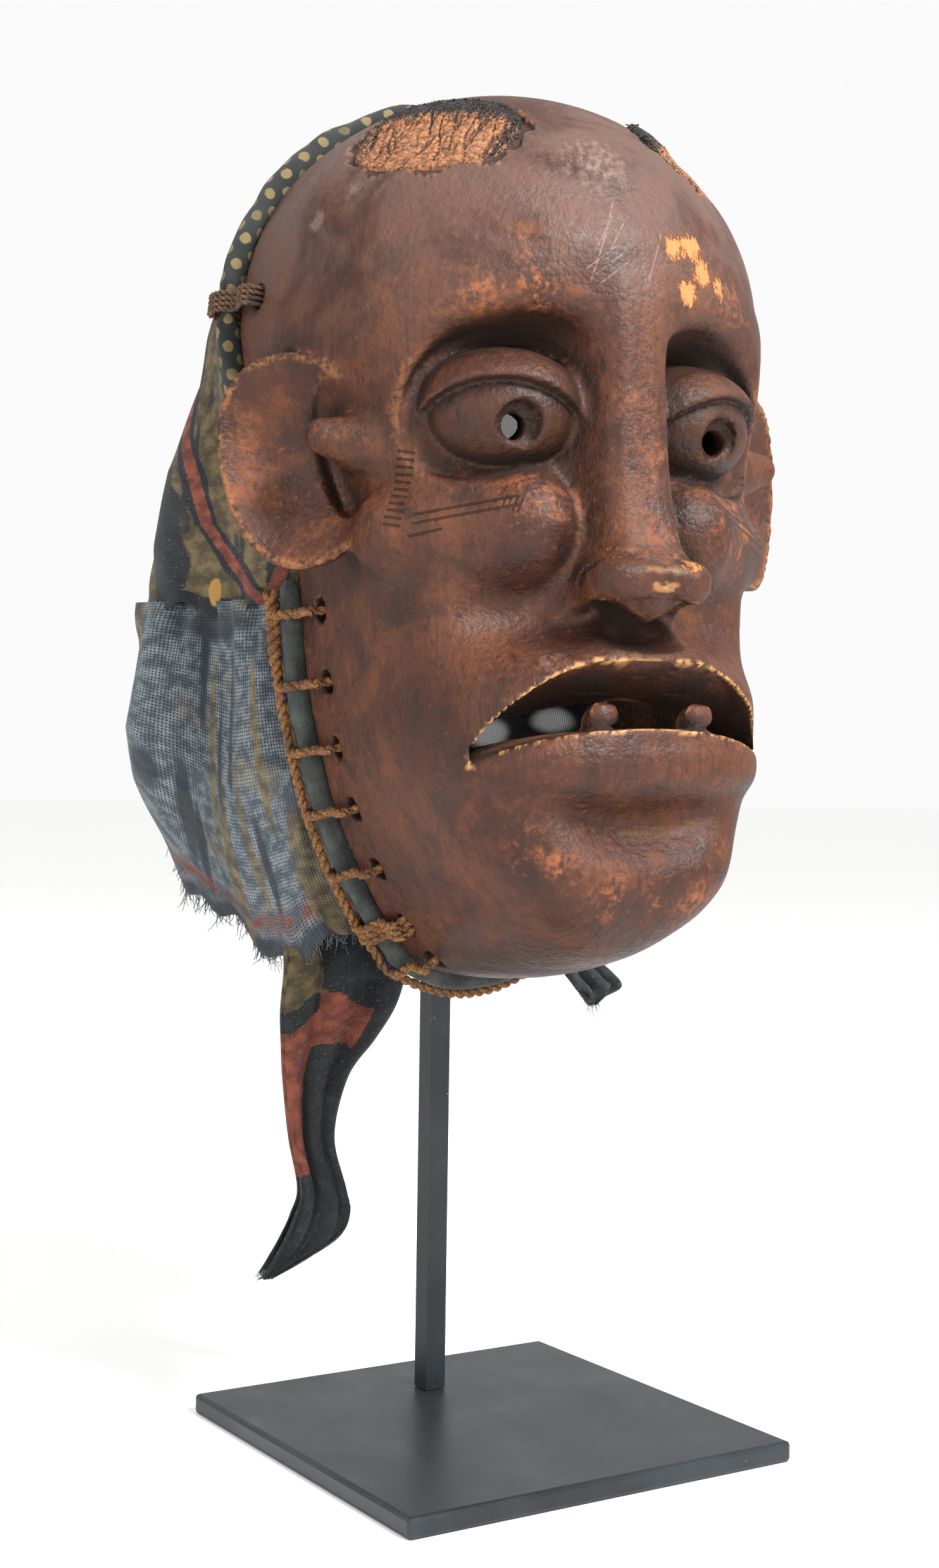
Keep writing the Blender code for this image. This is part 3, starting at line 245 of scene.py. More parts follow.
# Rows of small cuts: middle of the row, the way each cut runs, how many, how far apart, half length, half width
CHEEK_CUTS = [((0.0651, -0.0684, 0.3170), (-0.77, -0.64, -0.15), 11, 0.0023, 0.0030, 0.00050),
              ((0.0505, -0.0838, 0.3097), (-0.0286, -0.0227, 0.0056), 2, 0.0027, 0.0180, 0.0005),
              ((0.0384, -0.0920, 0.3113), (-0.25, -0.2, 0.95), 4, 0.0017, 0.0024, 0.00032),
              ((0.0604, -0.0762, 0.3030), (-0.030, -0.0227, 0.0070), 1, 0.0027, 0.0060, 0.0005)]
CHEEK_FACES = (0.64, -0.77, 0.0)
BROW_NICKS = [((-0.0108, -0.0985, 0.3925), (0.0123, 0.0056, 0.0305), 1, 0.003, 0.016, 0.00045),
              ((-0.0092, -0.0994, 0.3927), (0.0067, 0.0018, 0.0108), 2, 0.0040, 0.008, 0.00040),
              ((-0.0105, -0.1003, 0.3838), (0.0173, -0.0010, 0.0132), 3, 0.0030, 0.007, 0.00035),
              ((0.0060, -0.1000, 0.3870), (0.0110, 0.0, 0.0270), 1, 0.003, 0.011, 0.00030)]
BROW_FACES = (0.0, -1.0, 0.2)

# Hairs left on the hide: length, and how many stand on a square metre
HAIR_REACH = 0.0016
HAIRS = 6.5e6

# How far the cloth stands out at the right, by row, and how far it is tucked in behind the rim
HOOD_BULGE = [(5.0, 0.0), (6.5, 0.007), (7.75, 0.0072), (8.75, 0.0030), (9.6, 0.0045), (11.2, 0.0105), (12.2, 0.0080),
              (13.4, 0.0020), (14.0, 0.0)]
TUCK = 0.0055

# Rows of the hood: how finely each is drawn, and those at the seam, at the hem and where the gauze and its red
# line start
ROW_STEPS = 10
SEAM_ROW = 9.0
HEM_ROW = 14.0
GAUZE_ROW = 8.85
RED_HEM_ROW = 13.45

# Thickness of the cloths in metres, and the spacing of the dots in mm
COTTON_THICK = 0.0007
GAUZE_THICK = 0.0005
DOT_SPACING = 6.4

# Print of the hood and the stains of the gauze, as (u, row) on the sheet with half sizes. The wide navy blot at row
# 11.6 is painted shade on the inside of the hood behind the mouth, and the thin upright navy strips of the gauze are
# painted shade in its folds
STRIPE = [(4.4, -0.590), (5.9, -0.628), (6.6, -0.672), (7.4, -0.705), (8.1, -0.785), (9.0, -0.900)]
STRIPE_HALF = 0.020
NAVY_AND_SHADE_BLOTS = [(-0.60, 7.9, 0.07, 1.2), (-0.56, 5.4, 0.035, 0.8), (-0.30, 3.5, 0.12, 1.4), (-0.1, 6.5, 0.16, 1.4),
              (0.25, 2.5, 0.12, 1.2), (0.5, 7.5, 0.12, 1.2), (0.7, 4.5, 0.09, 1.4), (0.25, 11.6, 0.45, 2.2),
              (0.80, 9.0, 0.10, 1.5), (-0.93, 6.5, 0.035, 3.0), (-0.62, 9.0, 0.12, 0.25)]
RUST_BLOTS = [(0.35, 5.6, 0.04, 2.4), (-0.25, 1.8, 0.05, 1.2), (0.80, 10.5, 0.05, 2.0), (-0.935, 8.55, 0.025, 0.5)]
OCHRE_BLOTS = [(-0.735, 8.6, 0.022, 0.30), (-0.3, 5.2, 0.04, 0.5), (0.45, 9.6, 0.05, 0.5)]
WORN_THIN = [(0.213, 5.0, 0.055, 0.95, 0.69), (0.21, 12.6, 0.040, 0.6, 0.66), (0.34, 12.1, 0.05, 0.5, 0.60),
             (0.625, 10.9, 0.03, 0.45, 0.68)]
GAUZE_NAVY_AND_FOLD_SHADE = [(-0.70, 9.9, 0.012, 1.1), (-0.785, 10.6, 0.010, 1.7), (-0.66, 12.2, 0.016, 1.3),
              (-0.83, 12.6, 0.010, 1.2), (-0.745, 11.5, 0.007, 1.9), (-0.68, 12.8, 0.010, 1.1),
              (-0.745, 9.25, 0.13, 0.30), (-0.93, 9.6, 0.05, 0.7), (-0.61, 11.7, 0.03, 0.5)]
GAUZE_OCHRE = [(-0.722, 11.3, 0.009, 1.8), (-0.865, 10.9, 0.010, 1.5), (-0.805, 12.3, 0.009, 1.4),
               (-0.50, 9.5, 0.085, 2.1), (-0.955, 11.0, 0.030, 1.6), (-0.915, 13.0, 0.030, 1.3),
               (-0.75, 12.6, 0.014, 1.5)]

# Lights: place, aim, width in metres and power in watts
LIGHTS = [("key_light", (0.25, -1.10, 1.25), (0.0, -0.05, 0.33), 0.42, 52.0),
          ("side_light", (-1.25, -0.45, 0.60), (0.0, 0.0, 0.33), 0.50, 8.0)]

# Camera solved from the corners of the base plate: place, turns, its reach in pixels of the frame, and its film in mm
CAMERA_AT = (-0.39980, -0.61113, 0.22424)
CAMERA_ROUND = math.radians(-32.554)
CAMERA_UP = math.radians(-0.196)
CAMERA_ROLL = math.radians(0.838)
CAMERA_REACH = 3315.5
FRAME_HEIGHT = 2477
FILM_HEIGHT = 36.0

# Strength of the light from all round, and half the width of the floor in metres
ROOM_LIGHT = 0.96
FLOOR_HALF = 30.0


def blend(a, b, k):
    """Join two solids with a soft fillet of about k."""
    h = np.clip(0.5 + 0.5 * (b - a) / k, 0.0, 1.0)
    return b + (a - b) * h - k * h * (1.0 - h)


def overlap(a, b, k):
    """Keep what is in both solids."""
    return -blend(-a, -b, k)


def carve(a, b, k):
    """Take solid b out of solid a."""
    return -blend(-a, b, k)


def ovoid(p, centre, radii, power=2.0):
    """Distance to an ellipsoid, or to a squarer egg where power is over 2."""
    q = [np.abs(p[i] - centre[i]) / radii[i] + 1e-9 for i in range(3)]
    w = q if power == 2.0 else [v ** (power - 1.0) for v in q]
    k = (w[0] * q[0] + w[1] * q[1] + w[2] * q[2]) ** (1.0 / power)
    steep = np.sqrt(sum((w[i] / radii[i]) ** 2 for i in range(3))) / k ** (power - 1.0)
    return (k - 1.0) / steep


def taper(p, start, end, radius_start, radius_end):
    """Distance to a round bar that runs from start to end."""
    way = [end[i] - start[i] for i in range(3)]
    size = sum(v * v for v in way)
    h = np.clip(sum((p[i] - start[i]) * way[i] for i in range(3)) / size, 0.0, 1.0)
    gap = sum((p[i] - start[i] - h * way[i]) ** 2 for i in range(3))
    return np.sqrt(gap) - (radius_start + (radius_end - radius_start) * h)


def line_at(z, knots):
    """Read a smooth line through knots of (height, value)."""
    zs, vs = np.array(knots).T
    slope = np.gradient(vs, zs)
    i = np.clip(np.searchsorted(zs, z, side="right") - 1, 0, len(zs) - 2)
    h = zs[i + 1] - zs[i]
    t = np.clip((z - zs[i]) / h, 0.0, 1.0)
    rise = t * t * (3.0 - 2.0 * t)
    lean = h * t * (1.0 - t) * ((1.0 - t) * slope[i] - t * slope[i + 1])
    return vs[i] + (vs[i + 1] - vs[i]) * rise + lean


def face_block(p):
    """Face and jaw, from their side, front and squareness lines."""
    low, high = SIDE_LINE[0][0], SIDE_LINE[-1][0]
    z = np.clip(p[2], low, high)
    step = 0.0005
    wide, deep = line_at(z, SIDE_LINE), SECTION_BACK - line_at(z, FRONT_LINE)
    power = line_at(z, SQUARE_LINE)
    wider = (line_at(z + step, SIDE_LINE) - wide) / step
    deeper = (SECTION_BACK - line_at(z + step, FRONT_LINE) - deep) / step
    a = np.abs(p[0]) / wide + 1e-9
    b = np.abs(p[1] - SECTION_BACK) / deep + 1e-9
    an, bn = a ** power, b ** power
    k = (an + bn) ** (1.0 / power)
    scale = k / (an + bn)
    steep_x = an / a / wide * scale
    steep_y = bn / b / deep * scale
    steep_z = (an * wider / wide + bn * deeper / deep) * scale
    f = (k - 1.0) / np.sqrt(steep_x ** 2 + steep_y ** 2 + steep_z ** 2)
    f = overlap(np.clip(f, -0.06, 0.06), CHIN_LEVEL - p[2], 0.004)
    return overlap(f, p[2] - BROW_LEVEL, 0.006)


def head_form(p):
    """The plain head: crown, face, muzzle, eye sockets and cheek pouches."""
    f = blend(ovoid(p, CROWN_AT, CROWN_SIZE), face_block(p), 0.010)
    f = blend(f, ovoid(p, MUZZLE_AT, MUZZLE_SIZE, 2.6), 0.012)
    f = carve(f, ovoid(p, CHEEK_HOLLOW_AT, CHEEK_HOLLOW_SIZE), 0.016)
    f = carve(f, ovoid(p, SOCKET_AT, SOCKET_SIZE, 2.8), 0.007)
    e = eye_place(p)
    groove = overlap(ovoid(e, (0, 0, 0), EYE_GROOVE_SIZE, 2.3), e[1] - EYE_GROOVE_FLOOR, 0.003)
    f = carve(f, groove, 0.004)
    f = blend(f, taper(p, POUCH_FROM, POUCH_TO, *POUCH_RADII), 0.006)
    lift = 0.010 * (p[0] / 0.040) ** 2
    groove = ovoid([p[0], p[1], p[2] - lift], LIP_GROOVE_AT, LIP_GROOVE_SIZE)
    return carve(f, groove, 0.010)


def eye_place(p):
    """Place seen from an eye: along its slit, back from its front, and up."""
    x, y = p[0] - EYE_AT[0], p[1] - EYE_AT[1]
    c, s = math.cos(EYE_TURN), math.sin(EYE_TURN)
    return [x * c + y * s, y * c - x * s, p[2] - EYE_AT[2]]


def upper_lid(e):
    """Heavy lid, cut off below along a curved edge."""
    edge = LID_EDGE - LID_DROP * (e[0] / 0.0213) ** 2 - LID_SLANT * (e[1] + 0.023)
    return overlap(ovoid(e, (0, 0, 0), LID_SIZE, 2.2), edge - e[2], 0.0008)


def nose(p):
    """Flat-topped ridge and the two wings."""
    front = line_at(p[2], NOSE_LINE)
    half = NOSE_HALF[0] + (NOSE_HALF[1] - NOSE_HALF[0]) * np.clip((0.345 - p[2]) / 0.05, 0.0, 1.0)
    side = (p[0] - half - NOSE_FLARE * (p[1] - front)) * 0.94
    f = overlap(side, front - p[1], 0.006)
    f = overlap(f, NOSE_BASE - p[2] - 0.45 * (p[1] - WING_AT[1]), 0.003)
    f = overlap(f, p[2] - NOSE_TOP, 0.010)
    f = overlap(f, p[1] + 0.060, 0.004)
    return blend(f, ovoid(p, WING_AT, WING_SIZE, 2.3), 0.003)


def septum(p):
    """Three-cornered wedge that hangs under the tip of the nose."""
    drop = p[2] - SEPTUM_TIP[1]
    face = SEPTUM_TIP[0] - SEPTUM_LEAN[0] * drop + SEPTUM_LEAN[1] * p[0]
    f = overlap(SEPTUM_RISE * p[0] - drop, face - p[1], 0.0008)
    f = overlap(f, p[1] - face - SEPTUM_DEPTH, 0.002)
    f = overlap(f, p[0] - SEPTUM_HALF, 0.002)
    return overlap(f, drop - SEPTUM_HIGH, 0.002) * 0.75


def nostrils(p):
    """One wide scoop under the nose that leads into two round nostrils."""
    scoop = ovoid(p, NOSTRIL_SCOOP_AT, NOSTRIL_SCOOP_SIZE, 2.3)
    return blend(scoop, ovoid(p, NOSTRIL_AT, NOSTRIL_SIZE), 0.003)


def mouth_slot(p):
    """Open mouth: an arched roof that slopes inwards over a nearly straight floor."""
    run = np.clip(1.0 - (p[0] / MOUTH_HALF) ** 2, 0.0, 1.0)
    front = MOUTH_FRONT[0] + (MOUTH_FRONT[1] - MOUTH_FRONT[0]) * run
    roof = MOUTH_CORNER + MOUTH_RISE * run ** 0.52
    roof = roof - MOUTH_SLANT * np.clip(p[1] - front, 0.0, LIP_WALL + 0.001) * np.sqrt(run)
    floor = MOUTH_CORNER + MOUTH_FLOOR_RISE * run ** 0.55
    f = overlap(p[2] - roof, floor - p[2], 0.001)
    f = overlap(f, p[0] - MOUTH_HALF + 0.0005, 0.001)
    return overlap(f, p[1] + 0.020, 0.001)


def ear(p):
    """Cupped C-shaped ear with a cone-shaped tragus."""
    turn, tilt = (math.cos(EAR_TURN), math.sin(EAR_TURN)), (math.cos(EAR_TILT), math.sin(EAR_TILT))
    dx, dy, dz = p[0] - EAR_AT[0], p[1] - EAR_AT[1], p[2] - EAR_AT[2]
    out = dx * turn[0] + dy * turn[1]
    n = dx * turn[1] - dy * turn[0]
    u, v = out * tilt[0] - dz * tilt[1], out * tilt[1] + dz * tilt[0]
    ring = ((np.abs(u) / EAR_HALF[0]) ** 2.3 + (np.abs(v) / EAR_HALF[1]) ** 2.3 + 1e-9) ** (1 / 2.3)
    face = -EAR_DISH * np.clip(1.0 - ring * ring, 0.0, 1.0)
    f = overlap((ring - 1.0) * EAR_HALF[0], n - face, 0.002)
    f = overlap(f, face - EAR_THICK - n, 0.002)
    hollow = ovoid([u, n, v], EAR_HOLLOW_AT, EAR_HOLLOW_SIZE, 2.2)
    f = carve(f, hollow, 0.002)
    root = ovoid([u, n, v], (-0.024, -0.012, 0.0), (0.012, 0.010, 0.033), 2.3)
    f = blend(f, overlap(root, -hollow, 0.002), 0.003)
    tragus = taper([u, n, v], TRAGUS_FROM, TRAGUS_TO, *TRAGUS_RADII)
    return blend(f, tragus, 0.003)


def rim_table():
    """Reach of the wooden rim's outer edge from its middle, at even angles from straight up."""
    angles = np.linspace(-0.02, math.pi + 0.02, 400)
    reach = []
    for angle in angles:
        r = np.linspace(0.05, 0.20, 401)
        depth = np.full_like(r, RIM_Y - 0.003)
        f = head_form([np.abs(r * math.sin(angle)), depth, RIM_MIDDLE + r * math.cos(angle)])
        reach.append(float(np.interp(0.0, f, r)))
    return angles, np.array(reach)


def rim_point(angle):
    """Point of the wooden rim's outer edge at an angle from straight up, and its outward normal."""
    turn = abs(math.remainder(angle, 2 * math.pi))
    side = math.copysign(1.0, math.remainder(angle, 2 * math.pi))
    r, ahead, behind = [float(np.interp(turn + d, *RIM)) for d in (0.0, 0.01, -0.01)]
    way, across = Vector((math.sin(turn), math.cos(turn))), Vector((math.cos(turn), -math.sin(turn)))
    normal = (way - across * ((ahead - behind) / 0.02 / r)).normalized()
    return (Vector((side * way.x * r, 0.0, RIM_MIDDLE + way.y * r)),
            Vector((side * normal.x, 0.0, normal.y)))


def rim_angle(height, side):
    """Angle of the rim's outer edge at a height, on side -1 (right of the mask) or 1."""
    angles, reach = RIM
    return side * float(np.interp(-height, -(RIM_MIDDLE + reach * np.cos(angles)), angles))


def lacing_holes():
    """Middle and inward direction of each lacing hole, on both sides."""
    found = []
    for side in (-1, 1):
        for height in HOLE_HEIGHTS:
            point, normal = rim_point(rim_angle(height, side))
            found.append((point, normal))
    return found


def mask_field(x, y, z, holes):
    """The whole carved shell."""
    p = [np.abs(x), y, z]
    form = head_form(p)
    e = eye_place(p)
    eye = ovoid(e, (0, 0, 0), EYE_SIZE)
    f = blend(form, eye, 0.001)
    f = blend(f, upper_lid(e), 0.001)
    f = blend(f, ovoid(p, LOWER_LIP_AT, LOWER_LIP_SIZE, 2.6), 0.004)
    f = blend(f, nose(p), 0.004)
    f = carve(f, nostrils(p), 0.002)
    f = blend(f, septum(p), 0.0012)
    f = carve(f, mouth_slot(p), 0.0008)
    f = blend(f, ear(p), 0.004)
    lips = (LIP_WALL - WALL) * np.exp(-((z - LIP_LEVEL) / 0.024) ** 2) * np.clip((-0.05 - y) / 0.03, 0.0, 1.0)
    hollow = blend(form + WALL + lips, eye + EYE_WALL, 0.004)
    f = overlap(f, -hollow, 0.003)
    for across in TEETH_AT:
        low, high = [(across, TOOTH_Y, level) for level in TOOTH_LEVELS]
        f = blend(f, taper([x, y, z], low, high, *TOOTH_RADII), 0.0008)
    cone = np.interp(y, (PUPIL_DEPTH - 0.006, PUPIL_DEPTH, PUPIL_DEPTH + 0.0015), (PUPIL_MOUTH, 0.0068, PUPIL_BORE))
    bore = np.hypot(p[0] - PUPIL_AT[0], z - PUPIL_AT[1]) - cone
    f = overlap(f, -np.maximum(bore, y + 0.04), 0.0006)
    for point, normal in holes:
        start = point + normal * 0.010
        end = point - normal * 0.020
        for spot in (start, end):
            spot.y = RIM_Y - HOLE_IN
        f = overlap(f, -taper([x, y, z], start, end, HOLE_RADIUS, HOLE_RADIUS), 0.0006)
    return overlap(f, y - RIM_Y, 0.002)


def skin_mesh(field, low, high, step):
    """Closed net of triangles over the surface where the field is nought."""
    axes = [np.arange(low[i], high[i] + step, step) for i in range(3)]
    count = [len(a) for a in axes]
    value = np.empty(count)
    for i in range(0, count[0], 16):
        block = np.meshgrid(axes[0][i:i + 16], axes[1], axes[2], indexing="ij")
        value[i:i + 16] = field(*block)
    least = 0.04 * step
    value = np.where(value < 0.0, np.minimum(value, -least), np.maximum(value, least))
    strides = np.array([count[1] * count[2], count[2], 1])
    value = value.ravel()
    cells = np.indices([n - 1 for n in count]).reshape(3, -1).T @ strides
    corners = np.array([a * strides[0] + b * strides[1] + c for a in (0, 1) for b in (0, 1) for c in (0, 1)])
    inside = value[cells[:, None] + corners] < 0
    mixed = inside.any(axis=1) & ~inside.all(axis=1)
    cells = cells[mixed]
    pieces = []
    for order in itertools.permutations(range(3)):
        steps = np.cumsum([0] + [strides[a] for a in order])
        tet = cells[:, None] + steps
        low_in = value[tet] < 0
        code = low_in @ np.array([1, 2, 4, 8])
        for mask in range(1, 15):
            at = tet[code == mask]
            if not len(at):
                continue
            ins = [k for k in range(4) if mask >> k & 1]
            outs = [k for k in range(4) if k not in ins]
            if len(ins) == 1:
                tris = [[(ins[0], o) for o in outs]]
            elif len(ins) == 3:
                tris = [[(i, outs[0]) for i in ins]]
            else:
                (a, b), (c, d) = ins, outs
                tris = [[(a, c), (a, d), (b, d)], [(a, c), (b, d), (b, c)]]
            for tri in tris:
                edges = [np.sort(at[:, list(pair)], axis=1) for pair in tri]
                keys = np.stack([e[:, 0] * len(value) + e[:, 1] for e in edges], axis=1)
                pieces.append(keys)
    keys = np.concatenate(pieces)
    names, faces = np.unique(keys, return_inverse=True)
    a, b = names // len(value), names % len(value)
    part = value[a] / (value[a] - value[b])
    spot = [np.stack([n // strides[0], n // strides[1] % count[1], n % count[2]], axis=1) for n in (a, b)]
    verts = np.array(low) + (spot[0] + (spot[1] - spot[0]) * part[:, None]) * step
    return verts, faces.reshape(-1, 3)


def face_out(name, verts, faces):
    """Mesh of computed points whose faces all point outwards."""
    mesh = bpy.data.meshes.new(name)
    mesh.from_pydata([tuple(v) for v in verts], [], faces)
    work = bmesh.new()
    work.from_mesh(mesh)
    bmesh.ops.recalc_face_normals(work, faces=work.faces)
    work.to_mesh(mesh)
    work.free()
    return mesh


def jaw_angles():
    """Angles round the jaw from one end of the roll to the other, with every lacing hole among them."""
    marks = [rim_angle(h, 1) for h in (ROLL_TOP,) + HOLE_HEIGHTS[1:]]
    marks = marks + [2 * math.pi - m for m in reversed(marks)]
    angles = []
    for a, b in zip(marks, marks[1:]):
        angles += [a + (b - a) * i / JAW_STEPS for i in range(JAW_STEPS)]
    return angles + [marks[-1]]


def rim_path(angles, out, back):
    """Points along the rim, moved out from the wood and back from its face."""
    path = []
    for angle in angles:
        point, normal = rim_point(angle)
        point = point + normal * out
        point.y = RIM_Y + back
        path.append(point)
    return path


def loop_profile(radius, out, cord):
    """Way of one turn of cord in a plane across the rim, as (outwards, back) from the wood's edge."""
    back = SEAT + radius
    around = radius + cord + GAP
    turn = [(out + (around + slack) * math.cos(a), back + (around + slack) * math.sin(a))
            for a, slack in zip((CORD_LEAN, *LOOP_BENDS), LOOP_SLACK)]
    inside = -WALL - cord - 2.5 * SEAT
    rise = 2.4 * cord
    hole = -HOLE_IN
    return ([(cord + 1.5 * SEAT, hole), (cord + 1.5 * SEAT, -rise), (out + around * 0.92, 0.0)] + turn
            + [(inside + cord + 0.001, cord + 0.0030), (inside, -0.001), (inside, hole)])


def to_linear(code):
    """Turn an sRGB hex colour into linear red, green, blue and alpha."""
    parts = [int(code[i:i + 2], 16) / 255 for i in (1, 3, 5)]
    return (*[c / 12.92 if c <= 0.04045 else ((c + 0.055) / 1.055) ** 2.4 for c in parts], 1.0)


def per_mm(size):
    """Texture scale that gives features of about a size in mm, on coordinates in metres."""
    return 1000.0 / size


def add(tree, kind, inputs=None, out=None, **settings):
    """Add one node with its settings, values and links, and return the output in use."""
    node = tree.nodes.new(kind)
    for key, value in settings.items():
        setattr(node, key, value)
    for key, value in (inputs or {}).items():
        named = [s for s in node.inputs if s.enabled and s.name == key]
        socket = named[0] if named else node.inputs[key]
        if isinstance(value, bpy.types.NodeSocket):
            tree.links.new(value, socket)
        else:
            socket.default_value = value
    return node.outputs[out] if out is not None else [s for s in node.outputs if s.enabled][0]


def open_material(name, **constants):
    """New material with a bare Principled shader, as its tree and shader."""
    material = bpy.data.materials.new(name)
    material.use_nodes = True
    tree = material.node_tree
    shader = tree.nodes["Principled BSDF"]
    for key, value in constants.items():
        shader.inputs[key.replace("_", " ")].default_value = value
    return material, tree, shader


def mask_place(tree):
    """Position on the carving, in the frame that the mask was cut in."""
    spot = add(tree, "ShaderNodeTexCoord", out="Object")
    return add(tree, "ShaderNodeMapping", {"Vector": spot, "Rotation": POSE.inverted().to_euler()})


def soft_step(tree, value, low, high, top=1.0):
    """Smooth step of a value from nought at low to top at high."""
    return add(tree, "ShaderNodeMapRange",
               {"Value": value, "From Min": low, "From Max": high, "To Min": 0.0, "To Max": top},
               interpolation_type="SMOOTHSTEP")


def times(tree, a, b):
    """Product of two values."""
    return add(tree, "ShaderNodeMath", {0: a, 1: b}, operation="MULTIPLY")


def most(tree, *values):
    """Greatest of several values."""
    found = values[0]
    for value in values[1:]:
        found = add(tree, "ShaderNodeMath", {0: found, 1: value}, operation="MAXIMUM")
    return found


def plus(tree, a, b):
    """Sum of two values."""
    return add(tree, "ShaderNodeMath", {0: a, 1: b}, operation="ADD")


def tint(tree, under, over, share):
    """One colour laid over another by a share."""
    return add(tree, "ShaderNodeMix", {"Factor": share, "A": under, "B": over}, data_type="RGBA")


def coats(tree, colour, *layers):
    """Colours laid one over the other.

    Each is given as its code, what it follows, the values where it starts and is full, its share when full,
    and a mask for where alone it lies.
    """
    for code, follows, low, high, top, *where in layers:
        share = soft_step(tree, follows, low, high, top)
        for place in where:
            share = times(tree, place, share)
        colour = tint(tree, colour, to_linear(code), share)
    return colour


def surface(tree, shader, colour, height=None, **others):
    """Give the shader its colour, its relief as a height in metres, and other worked-out values."""
    tree.links.new(colour, shader.inputs["Base Color"])
    if height is not None:
        bump = add(tree, "ShaderNodeBump", {"Strength": 1.0, "Distance": 1.0, "Height": height})
        tree.links.new(bump, shader.inputs["Normal"])
    for key, value in others.items():
        tree.links.new(value, shader.inputs[key])


def knife_cuts(tree, place, facing, start, along, count, pitch, half_length, half_width):
    """Row of short straight cuts on a face of the carving: 1 in a cut and 0 off it."""
    along = Vector(along).normalized()
    across = Vector(facing).cross(along).normalized()
    away = add(tree, "ShaderNodeVectorMath", {0: place, 1: start}, operation="SUBTRACT")
    far = add(tree, "ShaderNodeVectorMath", {0: away, 1: across}, operation="DOT_PRODUCT", out="Value")
    run = add(tree, "ShaderNodeVectorMath", {0: away, 1: along}, operation="DOT_PRODUCT", out="Value")
    part = plus(tree, times(tree, far, 1.0 / pitch), count / 2)
    saw = add(tree, "ShaderNodeMath", {0: part}, operation="FRACT")
    saw = add(tree, "ShaderNodeMath", {0: plus(tree, saw, -0.5)}, operation="ABSOLUTE")
    line = soft_step(tree, saw, half_width / pitch, 0.25 * half_width / pitch)
    middle = add(tree, "ShaderNodeMath", {0: plus(tree, part, -count / 2)}, operation="ABSOLUTE")
    row = soft_step(tree, middle, count / 2 + 0.01, count / 2 - 0.01)
    reach = add(tree, "ShaderNodeMath", {0: run}, operation="ABSOLUTE")
    reach = soft_step(tree, reach, half_length, half_length * 0.82)
    return times(tree, times(tree, line, row), reach)


